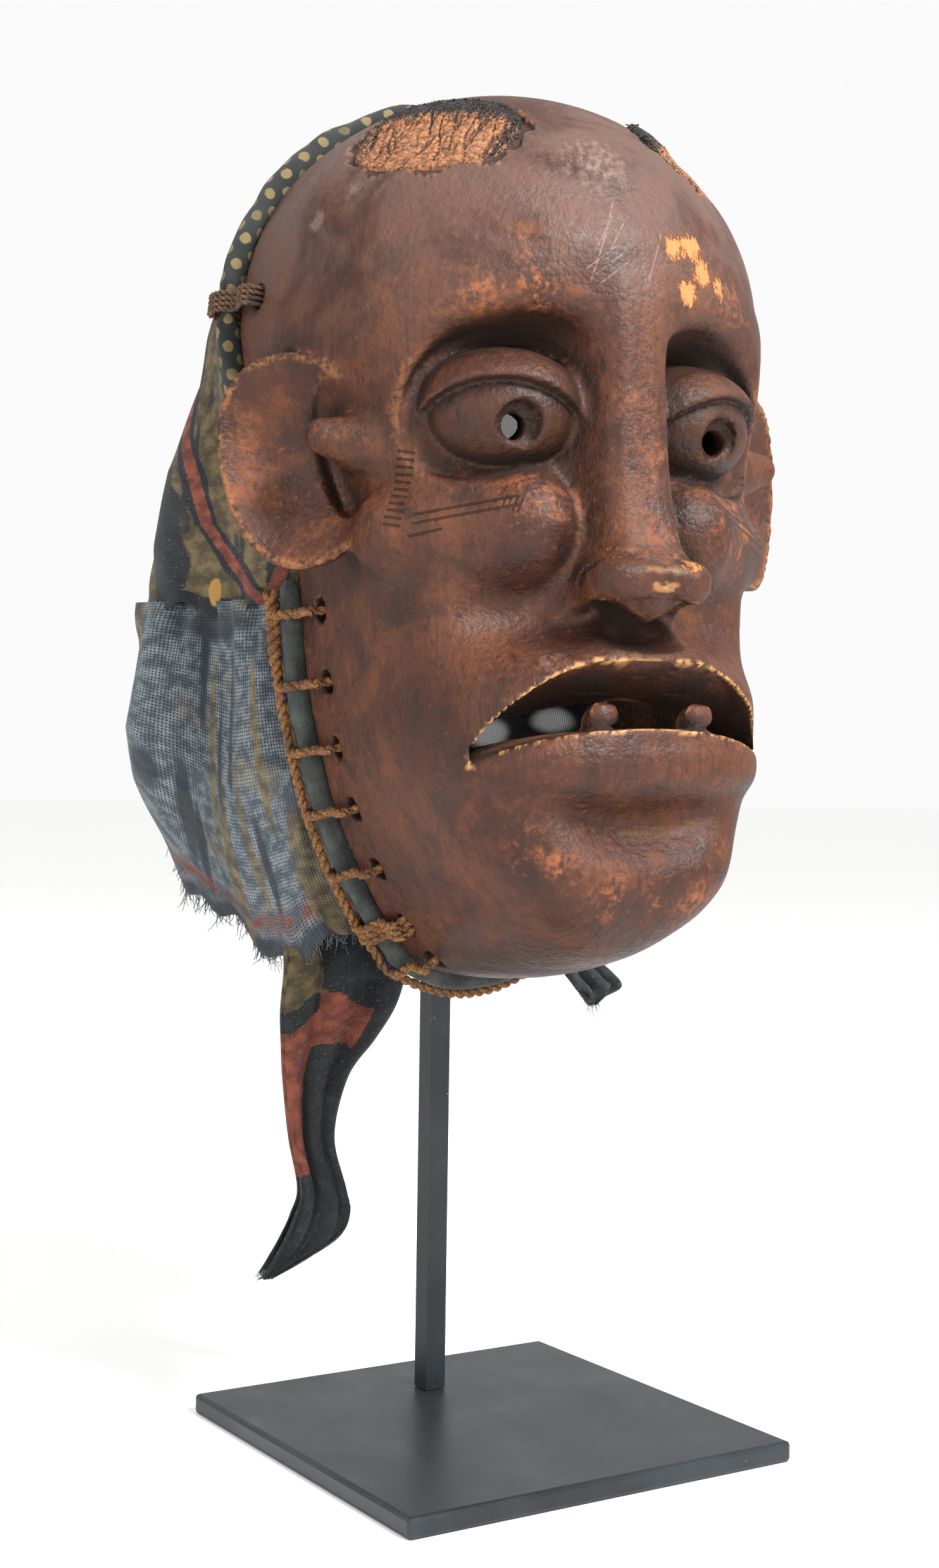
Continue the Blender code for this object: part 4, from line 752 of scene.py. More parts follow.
def carved_wood():
    """Hardwood carved with adze and knife, stained red brown, oiled and handled for years.

    The eye gets dark hollows of patina and painted shade, pale rubbed edges with some painted highlights, a mottled
    stain greyed by ash and a painted sheen towards the crown, and a soft sheen over shallow tool dents.
    """
    material, tree, shader = open_material("hardwood carved, stained and handled", Roughness=0.5, IOR=1.46,
                                           Specular_IOR_Level=0.26)
    place = mask_place(tree)
    # Broad patches some 40 mm across, where hands and smoke left the stain lighter or darker
    broad = add(tree, "ShaderNodeTexNoise", {"Vector": place, "Scale": per_mm(38), "Detail": 4.0, "Roughness": 0.62,
                                             "Distortion": 0.6})
    patch = add(tree, "ShaderNodeTexNoise", {"Vector": place, "Scale": per_mm(13), "Detail": 5.0, "Roughness": 0.62})
    # Pores and short tool dents of 1 to 3 mm
    pores = add(tree, "ShaderNodeTexNoise", {"Vector": place, "Scale": per_mm(2.2), "Detail": 3.0, "Roughness": 0.6})
    # Wood grain that runs up the mask, drawn 1.8 mm wide so that it shows
    drawn = add(tree, "ShaderNodeMapping", {"Vector": place, "Scale": (1.0, 1.0, 0.09)})
    grain = add(tree, "ShaderNodeTexNoise", {"Vector": drawn, "Scale": per_mm(1.8), "Detail": 4.0, "Roughness": 0.65})
    marks = {k: add(tree, "ShaderNodeAttribute", attribute_name=k, out="Fac")
             for k in ("hollow_patina_and_shade", "edge", "lip", "rubbed", "bared", "scuffed", "inside", "socket")}
    colour = tint(tree, to_linear("#381d13"), to_linear("#4d2a18"), soft_step(tree, broad, 0.40, 0.62))
    colour = coats(tree, colour, ("#63361d", patch, 0.52, 0.74, 0.6), ("#27150e", patch, 0.50, 0.30, 0.80),
                   ("#2b1710", pores, 0.46, 0.32, 0.55), ("#6a3f29", pores, 0.60, 0.74, 0.45),
                   ("#26140d", grain, 0.50, 0.34, 0.45))
    high = add(tree, "ShaderNodeSeparateXYZ", {0: place}, out="Z")
    # Greyer towards the top of the head: ash on the wood, and a painted sheen where its upper faces catch the light
    crown_ash_and_sheen = soft_step(tree, high, 0.345, 0.425, 0.70)
    mottle = plus(tree, patch, pores)
    colour = coats(tree, colour, ("#54413a", broad, 0.34, 0.56, 1.0, crown_ash_and_sheen),
                   # Orange rubbed places, two of them also painted highlights on the right pouch and the left cheek
                   ("#8f5430", mottle, 0.94, 1.28, 0.85, marks["rubbed"]),
                   ("#a8713f", mottle, 0.84, 1.08, 0.30, marks["edge"]),
                   ("#b0824f", mottle, 0.66, 0.98, 0.90, marks["lip"]),
                   ("#22120c", broad, 0.30, 0.60, 0.62, marks["socket"]))
    # Dark patina and painted shade in the hollows of the carving
    colour = tint(tree, colour, to_linear("#1a0e09"), times(tree, marks["hollow_patina_and_shade"], 0.92))
    flaked = add(tree, "ShaderNodeMapping", {"Vector": place, "Scale": (1.0, 1.0, 0.45)})
    flaked = add(tree, "ShaderNodeTexNoise",
                 {"Vector": flaked, "Scale": per_mm(2.0), "Detail": 6.0, "Roughness": 0.8})
    bare = soft_step(tree, plus(tree, marks["bared"], times(tree, flaked, 2.0)), 1.52, 1.72)
    colour = tint(tree, colour, to_linear("#b4703f"), times(tree, bare, 0.85))
    colour = coats(tree, colour, ("#9a8a80", plus(tree, marks["scuffed"], grain), 0.85, 1.35, 0.38))
    flat = add(tree, "ShaderNodeSeparateXYZ", {0: place}, out="X")
    flat = add(tree, "ShaderNodeMath", {0: flat}, operation="ABSOLUTE")
    side = add(tree, "ShaderNodeSeparateXYZ", {0: place}, out="Y")
    folded = add(tree, "ShaderNodeCombineXYZ", {0: flat, 1: side, 2: high})
    cut = most(tree, *[knife_cuts(tree, folded, CHEEK_FACES, *row) for row in CHEEK_CUTS])
    cut = times(tree, cut, add(tree, "ShaderNodeMath", {0: 1.0, 1: marks["inside"]}, operation="SUBTRACT"))
    colour = tint(tree, colour, to_linear("#1e0f09"), times(tree, cut, 0.75))
    nick = most(tree, *[knife_cuts(tree, place, BROW_FACES, *row) for row in BROW_NICKS])
    nick = times(tree, nick, soft_step(tree, pores, 0.36, 0.56))
    colour = tint(tree, colour, to_linear("#86655a"), times(tree, nick, 0.55))
    raw = tint(tree, to_linear("#6b4a30"), to_linear("#3b2619"), soft_step(tree, mottle, 0.80, 1.15))
    colour = tint(tree, colour, raw, marks["inside"])
    rough = add(tree, "ShaderNodeMapRange", {"Value": mottle, "From Min": 0.75, "From Max": 1.25,
                                             "To Min": 0.44, "To Max": 0.66})
    rough = most(tree, rough, times(tree, marks["hollow_patina_and_shade"], 0.8), times(tree, marks["inside"], 0.8),
                 times(tree, bare, 0.75))
    dents = add(tree, "ShaderNodeTexNoise", {"Vector": place, "Scale": per_mm(4.5), "Detail": 3.0, "Roughness": 0.7})
    height = 0.0006
    for source, tall in ((cut, -0.0007), (pores, 0.00050), (grain, 0.00014), (dents, 0.00060), (bare, -0.00025)):
        height = plus(tree, height, times(tree, source, tall))
    surface(tree, shader, colour, height, Roughness=rough)
    return material


def blackened_steel():
    """Mild steel, ground flat and blackened with heat and wax.

    The eye gets a cloudy near-black with a dull shine, finely rubbed, and a few brown specks of rust.
    """
    material, tree, shader = open_material("mild steel blackened and waxed", Metallic=0.55, Roughness=0.42)
    place = add(tree, "ShaderNodeTexCoord", out="Object")
    cloudy = add(tree, "ShaderNodeTexNoise", {"Vector": place, "Scale": per_mm(30), "Detail": 5.0, "Roughness": 0.6})
    rubbed = add(tree, "ShaderNodeTexNoise", {"Vector": place, "Scale": per_mm(0.9), "Detail": 2.0})
    colour = tint(tree, to_linear("#1e2225"), to_linear("#2c3135"), soft_step(tree, cloudy, 0.35, 0.70))
    specks = add(tree, "ShaderNodeTexNoise", {"Vector": place, "Scale": per_mm(3.5), "Detail": 2.0})
    colour = coats(tree, colour, ("#7b6a58", specks, 0.74, 0.78, 0.8))
    rough = add(tree, "ShaderNodeMapRange", {"Value": cloudy, "From Min": 0.3, "From Max": 0.7,
                                             "To Min": 0.34, "To Max": 0.50})
    bump = add(tree, "ShaderNodeBump", {"Strength": 0.4, "Distance": 0.00005, "Height": rubbed})
    surface(tree, shader, colour, Roughness=rough, Normal=bump)
    return material


def worn_hide():
    """Strip of hide set in the crown, dried, cracked and rubbed down to its fibres.

    The eye gets tan fibres with dark upright cracks, and black where the hair still stands.
    """
    material, tree, shader = open_material("hide dried and cracked", Roughness=0.85, IOR=1.45)
    place = mask_place(tree)
    cracks = add(tree, "ShaderNodeAttribute", attribute_name="crack", out="Fac")
    dark = add(tree, "ShaderNodeAttribute", attribute_name="hairy", out="Fac")
    # Fibres some 1.6 mm apart
    fibre = add(tree, "ShaderNodeTexNoise", {"Vector": place, "Scale": per_mm(1.6), "Detail": 4.0, "Roughness": 0.7})
    colour = tint(tree, to_linear("#583420"), to_linear("#a06b44"), soft_step(tree, fibre, 0.38, 0.66))
    colour = coats(tree, colour, ("#2b150c", cracks, 0.35, 0.8, 1.0),
                   ("#17110f", plus(tree, dark, fibre), 0.85, 1.10, 1.0))
    surface(tree, shader, colour, times(tree, fibre, 0.0012))
    return material


def black_hair():
    """Short curled hair, dusty and matted, that shows as black with brown dust in it."""
    material, tree, shader = open_material("hair black and matted", Roughness=0.6, IOR=1.55)
    place = mask_place(tree)
    dusty = add(tree, "ShaderNodeTexNoise", {"Vector": place, "Scale": per_mm(2.5), "Detail": 3.0})
    colour = tint(tree, to_linear("#14100f"), to_linear("#4a3324"), soft_step(tree, dusty, 0.50, 0.75))
    surface(tree, shader, colour)
    return material


def weave_height(tree, flat, pitch):
    """Plain weave with its threads a pitch apart, high on the threads and low between."""
    parts = []
    for way in ("X", "Y"):
        value = add(tree, "ShaderNodeSeparateXYZ", {0: flat}, out=way)
        wave = add(tree, "ShaderNodeMath", {0: times(tree, value, 2 * math.pi / pitch)}, operation="SINE")
        parts.append(add(tree, "ShaderNodeMath", {0: wave}, operation="ABSOLUTE"))
    return plus(tree, *parts)


def dotted_cotton():
    """Cotton dyed near black and printed with ochre dots, rolled and tied to the rim.

    The eye gets dull dots in slanting rows on a matt dark ground, with the weave just showing.
    """
    material, tree, shader = open_material("cotton woven, dyed and dotted", Roughness=0.85, Sheen_Weight=0.06)
    flat = add(tree, "ShaderNodeUVMap", uv_map="cloth")
    spin = add(tree, "ShaderNodeMapping", {"Vector": flat, "Scale": (per_mm(DOT_SPACING), per_mm(DOT_SPACING), 1.0),
                                           "Rotation": (0.0, 0.0, math.radians(45.0))})
    cell = add(tree, "ShaderNodeVectorMath", {0: spin}, operation="FRACTION")
    cell = add(tree, "ShaderNodeVectorMath", {0: cell, 1: (0.5, 0.5, 0.0)}, operation="SUBTRACT")
    off = add(tree, "ShaderNodeVectorMath", {0: cell}, operation="LENGTH", out="Value")
    worn = add(tree, "ShaderNodeTexNoise", {"Vector": flat, "Scale": per_mm(1.5), "Detail": 3.0})
    off = plus(tree, off, times(tree, worn, 0.16))
    cloud = add(tree, "ShaderNodeTexNoise", {"Vector": flat, "Scale": per_mm(14), "Detail": 3.0})
    ground = tint(tree, to_linear("#0d1112"), to_linear("#181e1c"), soft_step(tree, cloud, 0.4, 0.6))
    dots = tint(tree, to_linear("#6f5e38"), to_linear("#4c432a"), soft_step(tree, cloud, 0.45, 0.7))
    colour = tint(tree, ground, dots, soft_step(tree, off, 0.40, 0.34))
    # Threads drawn 0.6 mm apart, twice as coarse as the cloth, so that they show
    surface(tree, shader, colour, times(tree, weave_height(tree, flat, 0.0012), 0.00012))
    return material


def dark_cotton():
    """Cotton wound into a firm roll, faded from black to grey green and rubbed pale on its threads."""
    material, tree, shader = open_material("cotton rolled and faded", Roughness=0.88, Sheen_Weight=0.06)
    flat = add(tree, "ShaderNodeUVMap", uv_map="cloth")
    cloud = add(tree, "ShaderNodeTexNoise", {"Vector": flat, "Scale": per_mm(8), "Detail": 4.0})
    fuzz = add(tree, "ShaderNodeTexNoise", {"Vector": flat, "Scale": per_mm(1.2), "Detail": 3.0})
    colour = tint(tree, to_linear("#1d2121"), to_linear("#3a3f3a"), soft_step(tree, cloud, 0.35, 0.7))
    colour = coats(tree, colour, ("#5d6056", fuzz, 0.60, 0.75, 0.6))
    weave = weave_height(tree, flat, 0.0011)
    surface(tree, shader, colour, plus(tree, times(tree, weave, 0.0001), times(tree, fuzz, 0.0004)))
    return material


def plant_fibre(name, dark, light):
    """Plant fibre or thread twisted by hand, dry and hairy, lighter on top of each strand."""
    material, tree, shader = open_material(name, Roughness=0.8, IOR=1.5)
    place = mask_place(tree)
    hairs = add(tree, "ShaderNodeTexNoise", {"Vector": place, "Scale": per_mm(0.8), "Detail": 4.0, "Roughness": 0.7})
    length = add(tree, "ShaderNodeTexNoise", {"Vector": place, "Scale": per_mm(9), "Detail": 3.0})
    colour = tint(tree, to_linear(dark), to_linear(light), soft_step(tree, hairs, 0.36, 0.66))
    colour = coats(tree, colour, (dark, length, 0.50, 0.68, 0.65))
    surface(tree, shader, colour, times(tree, hairs, 0.0005))
    return material


def printed_cotton():
    """Thin cotton, printed in olive, navy and rust, stained and worn thin.

    The eye gets matt olive under dark blotches and streaks, one wide blotch being painted shade inside the hood
    behind the mouth, a rust stripe, and light through the worn places.
    """
    material, tree, shader = open_material("cotton woven and printed", Roughness=0.9, Sheen_Weight=0.06)
    flat = add(tree, "ShaderNodeUVMap", uv_map="cloth")
    zone = {k: add(tree, "ShaderNodeAttribute", attribute_name=k, out="Fac")
            for k in ("navy_and_shade", "rust", "ochre", "thin")}
    cloud = add(tree, "ShaderNodeTexNoise", {"Vector": flat, "Scale": per_mm(22), "Detail": 4.0, "Distortion": 0.8})
    soft = add(tree, "ShaderNodeTexNoise", {"Vector": flat, "Scale": per_mm(5), "Detail": 4.0})
    thread = add(tree, "ShaderNodeTexNoise", {"Vector": flat, "Scale": per_mm(0.8), "Detail": 2.0})
    colour = tint(tree, to_linear("#382f1d"), to_linear("#5f5033"), soft_step(tree, soft, 0.38, 0.66))
    streak = add(tree, "ShaderNodeMapping", {"Vector": flat, "Rotation": (0.0, 0.0, math.radians(28.0)),
                                             "Scale": (1.0, 0.22, 1.0)})
    streak = add(tree, "ShaderNodeTexNoise", {"Vector": streak, "Scale": per_mm(7), "Detail": 3.0})
    navy_and_shade = tint(tree, to_linear("#0d0f12"), to_linear("#191d22"), soft_step(tree, soft, 0.4, 0.7))
    colour = tint(tree, colour, navy_and_shade, soft_step(tree, streak, 0.56, 0.60, 0.85))
    # Navy print, and painted shade on the inside of the hood behind the mouth
    colour = tint(tree, colour, navy_and_shade, soft_step(tree, plus(tree, zone["navy_and_shade"], cloud), 0.86, 1.00))
    red = tint(tree, to_linear("#4f1f15"), to_linear("#7d3c2a"), soft_step(tree, soft, 0.35, 0.7))
    fleck = plus(tree, zone["rust"], times(tree, soft, 0.4))
    colour = tint(tree, colour, red, soft_step(tree, fleck, 0.64, 0.78, 0.92))
    colour = coats(tree, colour, ("#8f6c35", zone["ochre"], 0.45, 0.75, 1.0), ("#8a867c", thread, 0.62, 0.76, 0.45))
    weave = weave_height(tree, flat, 0.0012)
    height = plus(tree, times(tree, weave, 0.00010), times(tree, soft, 0.0008))
    sparse = add(tree, "ShaderNodeMapRange", {"Value": weave, "From Min": 0.7, "From Max": 1.5,
                                              "To Min": 1.0, "To Max": 0.45})
    worn = most(tree, times(tree, zone["thin"], sparse), soft_step(tree, zone["thin"], 0.70, 0.80))
    clear = add(tree, "ShaderNodeMath", {0: 1.0, 1: worn}, operation="SUBTRACT")
    surface(tree, shader, colour, height, Alpha=clear)
    return material


def cotton_gauze():
    """Open cotton gauze, grey blue, with folds stained khaki and a frayed dark hem.

    The eye gets pale crossing threads over gaps painted dark as the shaded cloth behind, which let some light
    through, and thin strips of painted shade along the folds.
    """
    material, tree, shader = open_material("cotton gauze, woven open and stained", Roughness=0.9, Sheen_Weight=0.06)
    flat = add(tree, "ShaderNodeUVMap", uv_map="cloth")
    zone = {k: add(tree, "ShaderNodeAttribute", attribute_name=k, out="Fac") for k in ("navy_and_shade", "ochre", "rust")}
    cloud = add(tree, "ShaderNodeTexNoise", {"Vector": flat, "Scale": per_mm(16), "Detail": 4.0, "Distortion": 0.7})
    soft = add(tree, "ShaderNodeTexNoise", {"Vector": flat, "Scale": per_mm(4), "Detail": 4.0})
    # Threads 1 mm apart, with the gaps between them painted dark as the shaded cloth inside the hood seen through
    # them
    weave = weave_height(tree, flat, 0.0020)
    fuzz = add(tree, "ShaderNodeTexNoise", {"Vector": flat, "Scale": per_mm(1.0), "Detail": 2.0})
    gap = soft_step(tree, plus(tree, weave, times(tree, fuzz, 0.9)), 1.15, 1.75)
    thread = tint(tree, to_linear("#3c444b"), to_linear("#6b7378"), soft_step(tree, soft, 0.36, 0.66))
    colour = tint(tree, to_linear("#2b3137"), thread, gap)
    # Navy stains and hem, with thin upright strips of painted shade along the folds
    blot = plus(tree, zone["navy_and_shade"], times(tree, cloud, 0.6))
    colour = coats(tree, colour, ("#6a5c3a", cloud, 0.54, 0.70, 0.45), ("#1c2127", blot, 0.62, 1.00, 0.85))
    colour = tint(tree, colour, to_linear("#5a2a20"), times(tree, zone["rust"], soft_step(tree, soft, 0.42, 0.56)))
    khaki = tint(tree, to_linear("#40382a"), to_linear("#675a3c"), soft_step(tree, soft, 0.36, 0.66))
    strip = soft_step(tree, plus(tree, zone["ochre"], times(tree, soft, 0.5)), 0.66, 1.00, 0.85)
    colour = tint(tree, colour, khaki, strip)
    cover = add(tree, "ShaderNodeMapRange", {"Value": gap, "To Min": 0.72, "To Max": 1.0})
    dense = most(tree, cover, soft_step(tree, blot, 0.70, 0.85), strip)
    surface(tree, shader, colour, times(tree, weave, -0.00015), Alpha=dense)
    return material


def put(name, verts, faces, material, nodes, uv=None, marks=None):
    """Finished piece from points in the mask's frame, riding on the stand in place of its CAD nodes."""
    turn = np.array(POSE.to_3x3())
    mesh = bpy.data.meshes.new(name)
    mesh.from_pydata((np.asarray(verts) @ turn.T).tolist(), [], [tuple(f) for f in faces])
    mesh.shade_smooth()
    if uv is not None:
        layer = mesh.uv_layers.new(name="cloth")
        corner = np.empty(len(mesh.loops), np.int32)
        mesh.loops.foreach_get("vertex_index", corner)
        layer.data.foreach_set("uv", np.asarray(uv)[corner].ravel())
    for key, values in (marks or {}).items():
        mesh.attributes.new(key, "FLOAT", "POINT").data.foreach_set("value", np.asarray(values, float))
    piece = bpy.data.objects.new(name, mesh)
    bpy.context.scene.collection.objects.link(piece)
    mesh.materials.append(material)
    return settle(piece, nodes)


def settle(piece, nodes):
    """Let a piece ride on the stand, and stand in for its CAD nodes."""
    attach(piece, "root")
    if nodes:
        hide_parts(*nodes)
    return piece


def applied(piece):
    """Turn a piece's modifiers into plain mesh."""
    graph = bpy.context.evaluated_depsgraph_get()
    mesh = bpy.data.meshes.new_from_object(piece.evaluated_get(graph))
    piece.modifiers.clear()
    piece.data = mesh
    return piece


def hair_bed(x, y, z):
    """Shallow bed in the crown for each patch of hide."""
    away = [np.abs(x) - HAIR_AT[0], y - HAIR_AT[1], z - HAIR_AT[2]]
    u = sum(a * b for a, b in zip(away, HAIR_LONG)) / HAIR_HALF[0]
    v = sum(a * b for a, b in zip(away, HAIR_ACROSS)) / HAIR_HALF[1]
    wave = 0.05 * np.sin(9 * u + 1.0) + 0.04 * np.sin(13 * v)
    round_ = (np.abs(u) ** HAIR_POWER + np.abs(v) ** HAIR_POWER) ** (1 / HAIR_POWER) - 1.0 + wave
    return np.maximum(round_ * HAIR_HALF[1], 0.30 - z)


def fine_field(x, y, z):
    """The carving with its hair beds, the flat cuts on the teeth, the nose tip and the creases over its wings."""
    f = mask_field(x, y, z, HOLES)
    bed = np.maximum(hair_bed(x, y, z), -(head_form([np.abs(x), y, z]) + 0.0015))
    f = overlap(f, -bed, 0.0004)
    for across in TEETH_AT:
        dx, dy, dz = x - across, y - TOOTH_Y, z - TOOTH_LEVELS[1]
        zone = np.max([np.hypot(dx, dy) - 0.009, -dz - 0.004, dz - 0.0075], axis=0)
        for a, b, c, reach in TOOTH_CUTS:
            f = overlap(f, -np.maximum(zone, reach - a * dx - b * dy - c * dz), 0.0006)
    f = blend(f, ovoid([x, y, z], *NOSE_TIP), 0.0015)
    for start, end in zip(WING_CREASE, WING_CREASE[1:]):
        f = overlap(f, -taper([np.abs(x), y, z], start, end, CREASE_RADIUS, CREASE_RADIUS), 0.0012)
    return f


def near(points, places):
    """How close each point is to the nearest of some round places."""
    found = np.zeros(len(points))
    for middle, radius, strength in places:
        away = np.linalg.norm(points - np.array(middle), axis=1)
        found = np.maximum(found, strength * np.exp(-(away / radius) ** 2))
    return found


def ramp(value, low, high):
    """Straight rise of a value from nought at low to one at high, which may be the smaller."""
    return np.clip((value - low) / (high - low), 0, 1)


def wear_and_shade_marks(points):
    """How dirty and shaded in its hollows, bent, rubbed or hidden the carving is at each of its points, from the
    shape round it.
    """
    x, y, z = points.T
    step = 0.0004
    slope = np.stack([fine_field(*(points + d).T) - fine_field(*(points - d).T)
                      for d in np.eye(3) * step], axis=1) / (2 * step)
    steep = np.linalg.norm(slope, axis=1)
    normal = slope / steep[:, None]
    reach = {h: fine_field(*(points + normal * h).T) / (steep * h) for h in (0.0015, 0.003, 0.007, 0.014)}
    # Dark patina and painted shade where the surface is shut in by the carving round it
    shut = np.maximum(ramp(reach[0.003], 0.82, 0.32), ramp(reach[0.007], 0.72, 0.22))
    shut = np.maximum(shut, 0.8 * ramp(reach[0.014], 0.55, 0.05))
    lids = np.exp(-((np.abs(x) - 0.036) / 0.026) ** 4) * np.exp(-((z - 0.338) / 0.024) ** 4)
    deep = head_form([np.abs(x), y, z])
    hollow = ramp(deep, -0.0075, -0.0095) * (np.einsum("ij,ij->i", normal, points - (0, 0.02, 0.30)) < 0)
    bent = ramp(reach[0.0015], 1.02, 1.12)
    wide = ramp(reach[0.003], 1.01, 1.08)
    ledge = ramp(reach[0.003], 1.01, 1.07) * (y < -0.070)
    ledge = ledge * ramp(z, 0.2310, 0.234) * ramp(z, 0.2500, 0.248)
    mouth = ramp(z, 0.2285, 0.2315) * ramp(z, 0.272, 0.269)
    mouth = mouth * ramp(y, -0.070, -0.076) * (1 - hollow)
    at_slot = ramp(mouth_slot([np.abs(x), y, z]), 0.004725, 0.001225)
    tip = ramp(np.linalg.norm(points - TIP_WEAR[0], axis=1), TIP_WEAR[1], 0) ** 0.5
    lip = np.max([wide * mouth * at_slot, 0.6 * bent * tip, ledge * at_slot * (1 - hollow)], axis=0)
    return {"hollow_patina_and_shade": shut, "edge": bent * (1 - shut) * (1 - lids), "lip": lip, "rubbed": near(points, RUBBED_AND_HIGHLIGHT),
            "bared": near(points, BARED), "scuffed": near(points, SCUFFED), "inside": hollow,
            "socket": lids * ramp(z, 0.356, 0.346)}


def make_mask():
    """The carved mask, with the dirt, painted shade, painted highlights, wear and scuffs of each place on its points.
    """
    verts, faces = skin_mesh(fine_field, *CARVING_BOX, FINE)
    piece = bpy.data.objects.new("carved_mask", face_out("carved_mask", verts, faces.tolist()))
    bpy.context.scene.collection.objects.link(piece)
    fewer = piece.modifiers.new("Fewer faces", "DECIMATE")
    fewer.ratio = min(1.0, MASK_FACES / len(faces))
    applied(piece)
    mesh = piece.data
    points = np.empty(len(mesh.vertices) * 3)
    mesh.vertices.foreach_get("co", points)
    for key, values in wear_and_shade_marks(points.reshape(-1, 3)).items():
        mesh.attributes.new(key, "FLOAT", "POINT").data.foreach_set("value", values)
    mesh.transform(POSE)
    mesh.shade_smooth()
    mesh.materials.append(carved_wood())
    return settle(piece, ["mask_shell"])


def grid_faces(rows, columns, closed=False):
    """Faces of a grid of points, row by row, closed round when asked."""
    faces = []
    for i in range(rows - 1):
        for j in range(columns if closed else columns - 1):
            k = (j + 1) % columns
            faces.append((i * columns + j, i * columns + k, (i + 1) * columns + k, (i + 1) * columns + j))
    return faces


def smooth_line(points, steps, closed=False):
    """Points along a smooth curve through some points."""
    points = np.asarray(points, float)
    count = len(points)
    rounds = count if closed else count - 1
    found = []
    for i in range(rounds):
        if closed:
            a, b, c, d = [points[(i + k) % count] for k in (-1, 0, 1, 2)]
        else:
            b, c = points[i], points[i + 1]
            a = points[i - 1] if i else 2 * b - c
            d = points[i + 2] if i + 2 < count else 2 * c - b
        for t in np.arange(steps) / steps:
            found.append(0.5 * (2 * b + (c - a) * t + (2 * a - 5 * b + 4 * c - d) * t * t
                                + (3 * b - a - 3 * c + d) * t ** 3))
    if not closed:
        found.append(points[-1])
    return np.array(found)


def run_along(path):
    """Length along a path at each of its points."""
    return np.concatenate([[0], np.cumsum(np.linalg.norm(np.diff(path, axis=0), axis=1))])


def frames_along(path, closed=False):
    """Two directions across a path at each of its points, turning as little as they can."""
    way = np.roll(path, -1, axis=0) - np.roll(path, 1, axis=0)
    if not closed:
        way[0], way[-1] = path[1] - path[0], path[-1] - path[-2]
    way /= np.linalg.norm(way, axis=1)[:, None]
    side = np.cross(way[0], (0.0, 1.0, 0.05))
    sides = []
    for w in way:
        side = side - w * np.dot(side, w)
        side /= np.linalg.norm(side)
        sides.append(side)
    sides = np.array(sides)
    return sides, np.cross(way, sides)


def tube(path, radius, sides, closed=False):
    """Points, faces and flat places of a tube along a path, with a radius for each point and side."""
    a, b = frames_along(path, closed)
    count = len(path)
    angle = 2 * math.pi * np.arange(sides) / sides
    radius = np.broadcast_to(radius, (count, sides))
    c, s = np.cos(angle)[None], np.sin(angle)[None]
    verts = path[:, None] + radius[..., None] * (a[:, None] * c[..., None] + b[:, None] * s[..., None])
    length = run_along(path)
    uv = np.stack([np.broadcast_to(length[:, None], (count, sides)),
                   np.broadcast_to(radius.mean() * angle, (count, sides))], axis=-1)
    faces = grid_faces(count, sides, True)
    if closed:
        last = (count - 1) * sides
        faces += [(last + j, last + (j + 1) % sides, (j + 1) % sides, j) for j in range(sides)]
    else:
        faces.append(tuple(reversed(range(sides))))
        faces.append(tuple((count - 1) * sides + j for j in range(sides)))
    return verts.reshape(-1, 3), faces, uv.reshape(-1, 2)


def gather(pieces):
    """Several sets of points, faces and flat places as one."""
    verts, faces, uvs, base = [], [], [], 0
    for v, f, u in pieces:
        verts.append(v)
        faces += [tuple(base + k for k in face) for face in f]
        uvs.append(u)
        base += len(v)
    return np.concatenate(verts), faces, np.concatenate(uvs)


def rope(path, radius, pitch, sides, closed=False, seed=0):
    """Twisted cord: two plies wound round a path, one turn to each pitch."""
    length = run_along(path)
    whole = length[-1] + (np.linalg.norm(path[0] - path[-1]) if closed else 0.0)
    rounds = max(1, round(whole / pitch)) if closed else whole / pitch
    a, b = frames_along(path, closed)
    thick = 0.56
    radius = np.broadcast_to(radius, len(path))
    pieces = []
    for ply in range(2):
        angle = 2 * math.pi * (length / whole * rounds + ply / 2)
        off = ((1 - thick) * radius)[:, None]
        spine = path + off * (a * np.cos(angle)[:, None] + b * np.sin(angle)[:, None])
        wobble = 1.0 + 0.07 * np.sin(length / 0.0017 + 2.1 * ply + seed) + 0.05 * np.sin(length / 0.00061 + seed)
        pieces.append(tube(spine, (thick * radius * wobble)[:, None], sides, closed))
    return gather(pieces)


def rim_line(angles, out, back, steps=6):
    """Smooth path along the rim."""
    return smooth_line([tuple(p) for p in rim_path(angles, out, back)], steps)


def make_band():
    """Dotted roll of cloth over the crown, pinched at each temple hole."""
    top = rim_angle(BAND_END, 1)
    angles = [-top + 2 * top * i / (BAND_STEPS - 1) for i in range(BAND_STEPS)]
    path = rim_line(angles, BAND_OUT, BAND_RADIUS - 0.0001, 18)
    length = run_along(path)
    sides = 28
    angle = 2 * math.pi * np.arange(sides) / sides
    wave = (0.05 * np.sin(length / 0.0031)[:, None] * np.sin(2 * angle + length[:, None] / 0.011)
            + 0.045 * np.sin(3 * angle + length[:, None] / 0.0043) + 0.04 * np.sin(length / 0.0070)[:, None])
    radius = BAND_RADIUS * (0.88 + 1.3 * wave)
    for side in (0, len(HOLE_HEIGHTS)):
        hole = HOLES[side][0]
        away = np.linalg.norm(path - np.array((hole.x, path[0][1], hole.z)), axis=1)
        pinch = 1.0 - 0.42 * np.exp(-(away / 0.0045) ** 4) + 0.10 * np.exp(-((away - 0.008) / 0.002) ** 2)
        radius = radius * pinch[:, None]
    ends = np.minimum(1.0, 0.45 + np.minimum(length, length[-1] - length) / 0.005)
    verts, faces, uv = tube(path, radius * ends[:, None], sides)
    return put("dotted_roll", verts, faces, dotted_cotton(), ["dotted_band"], uv)


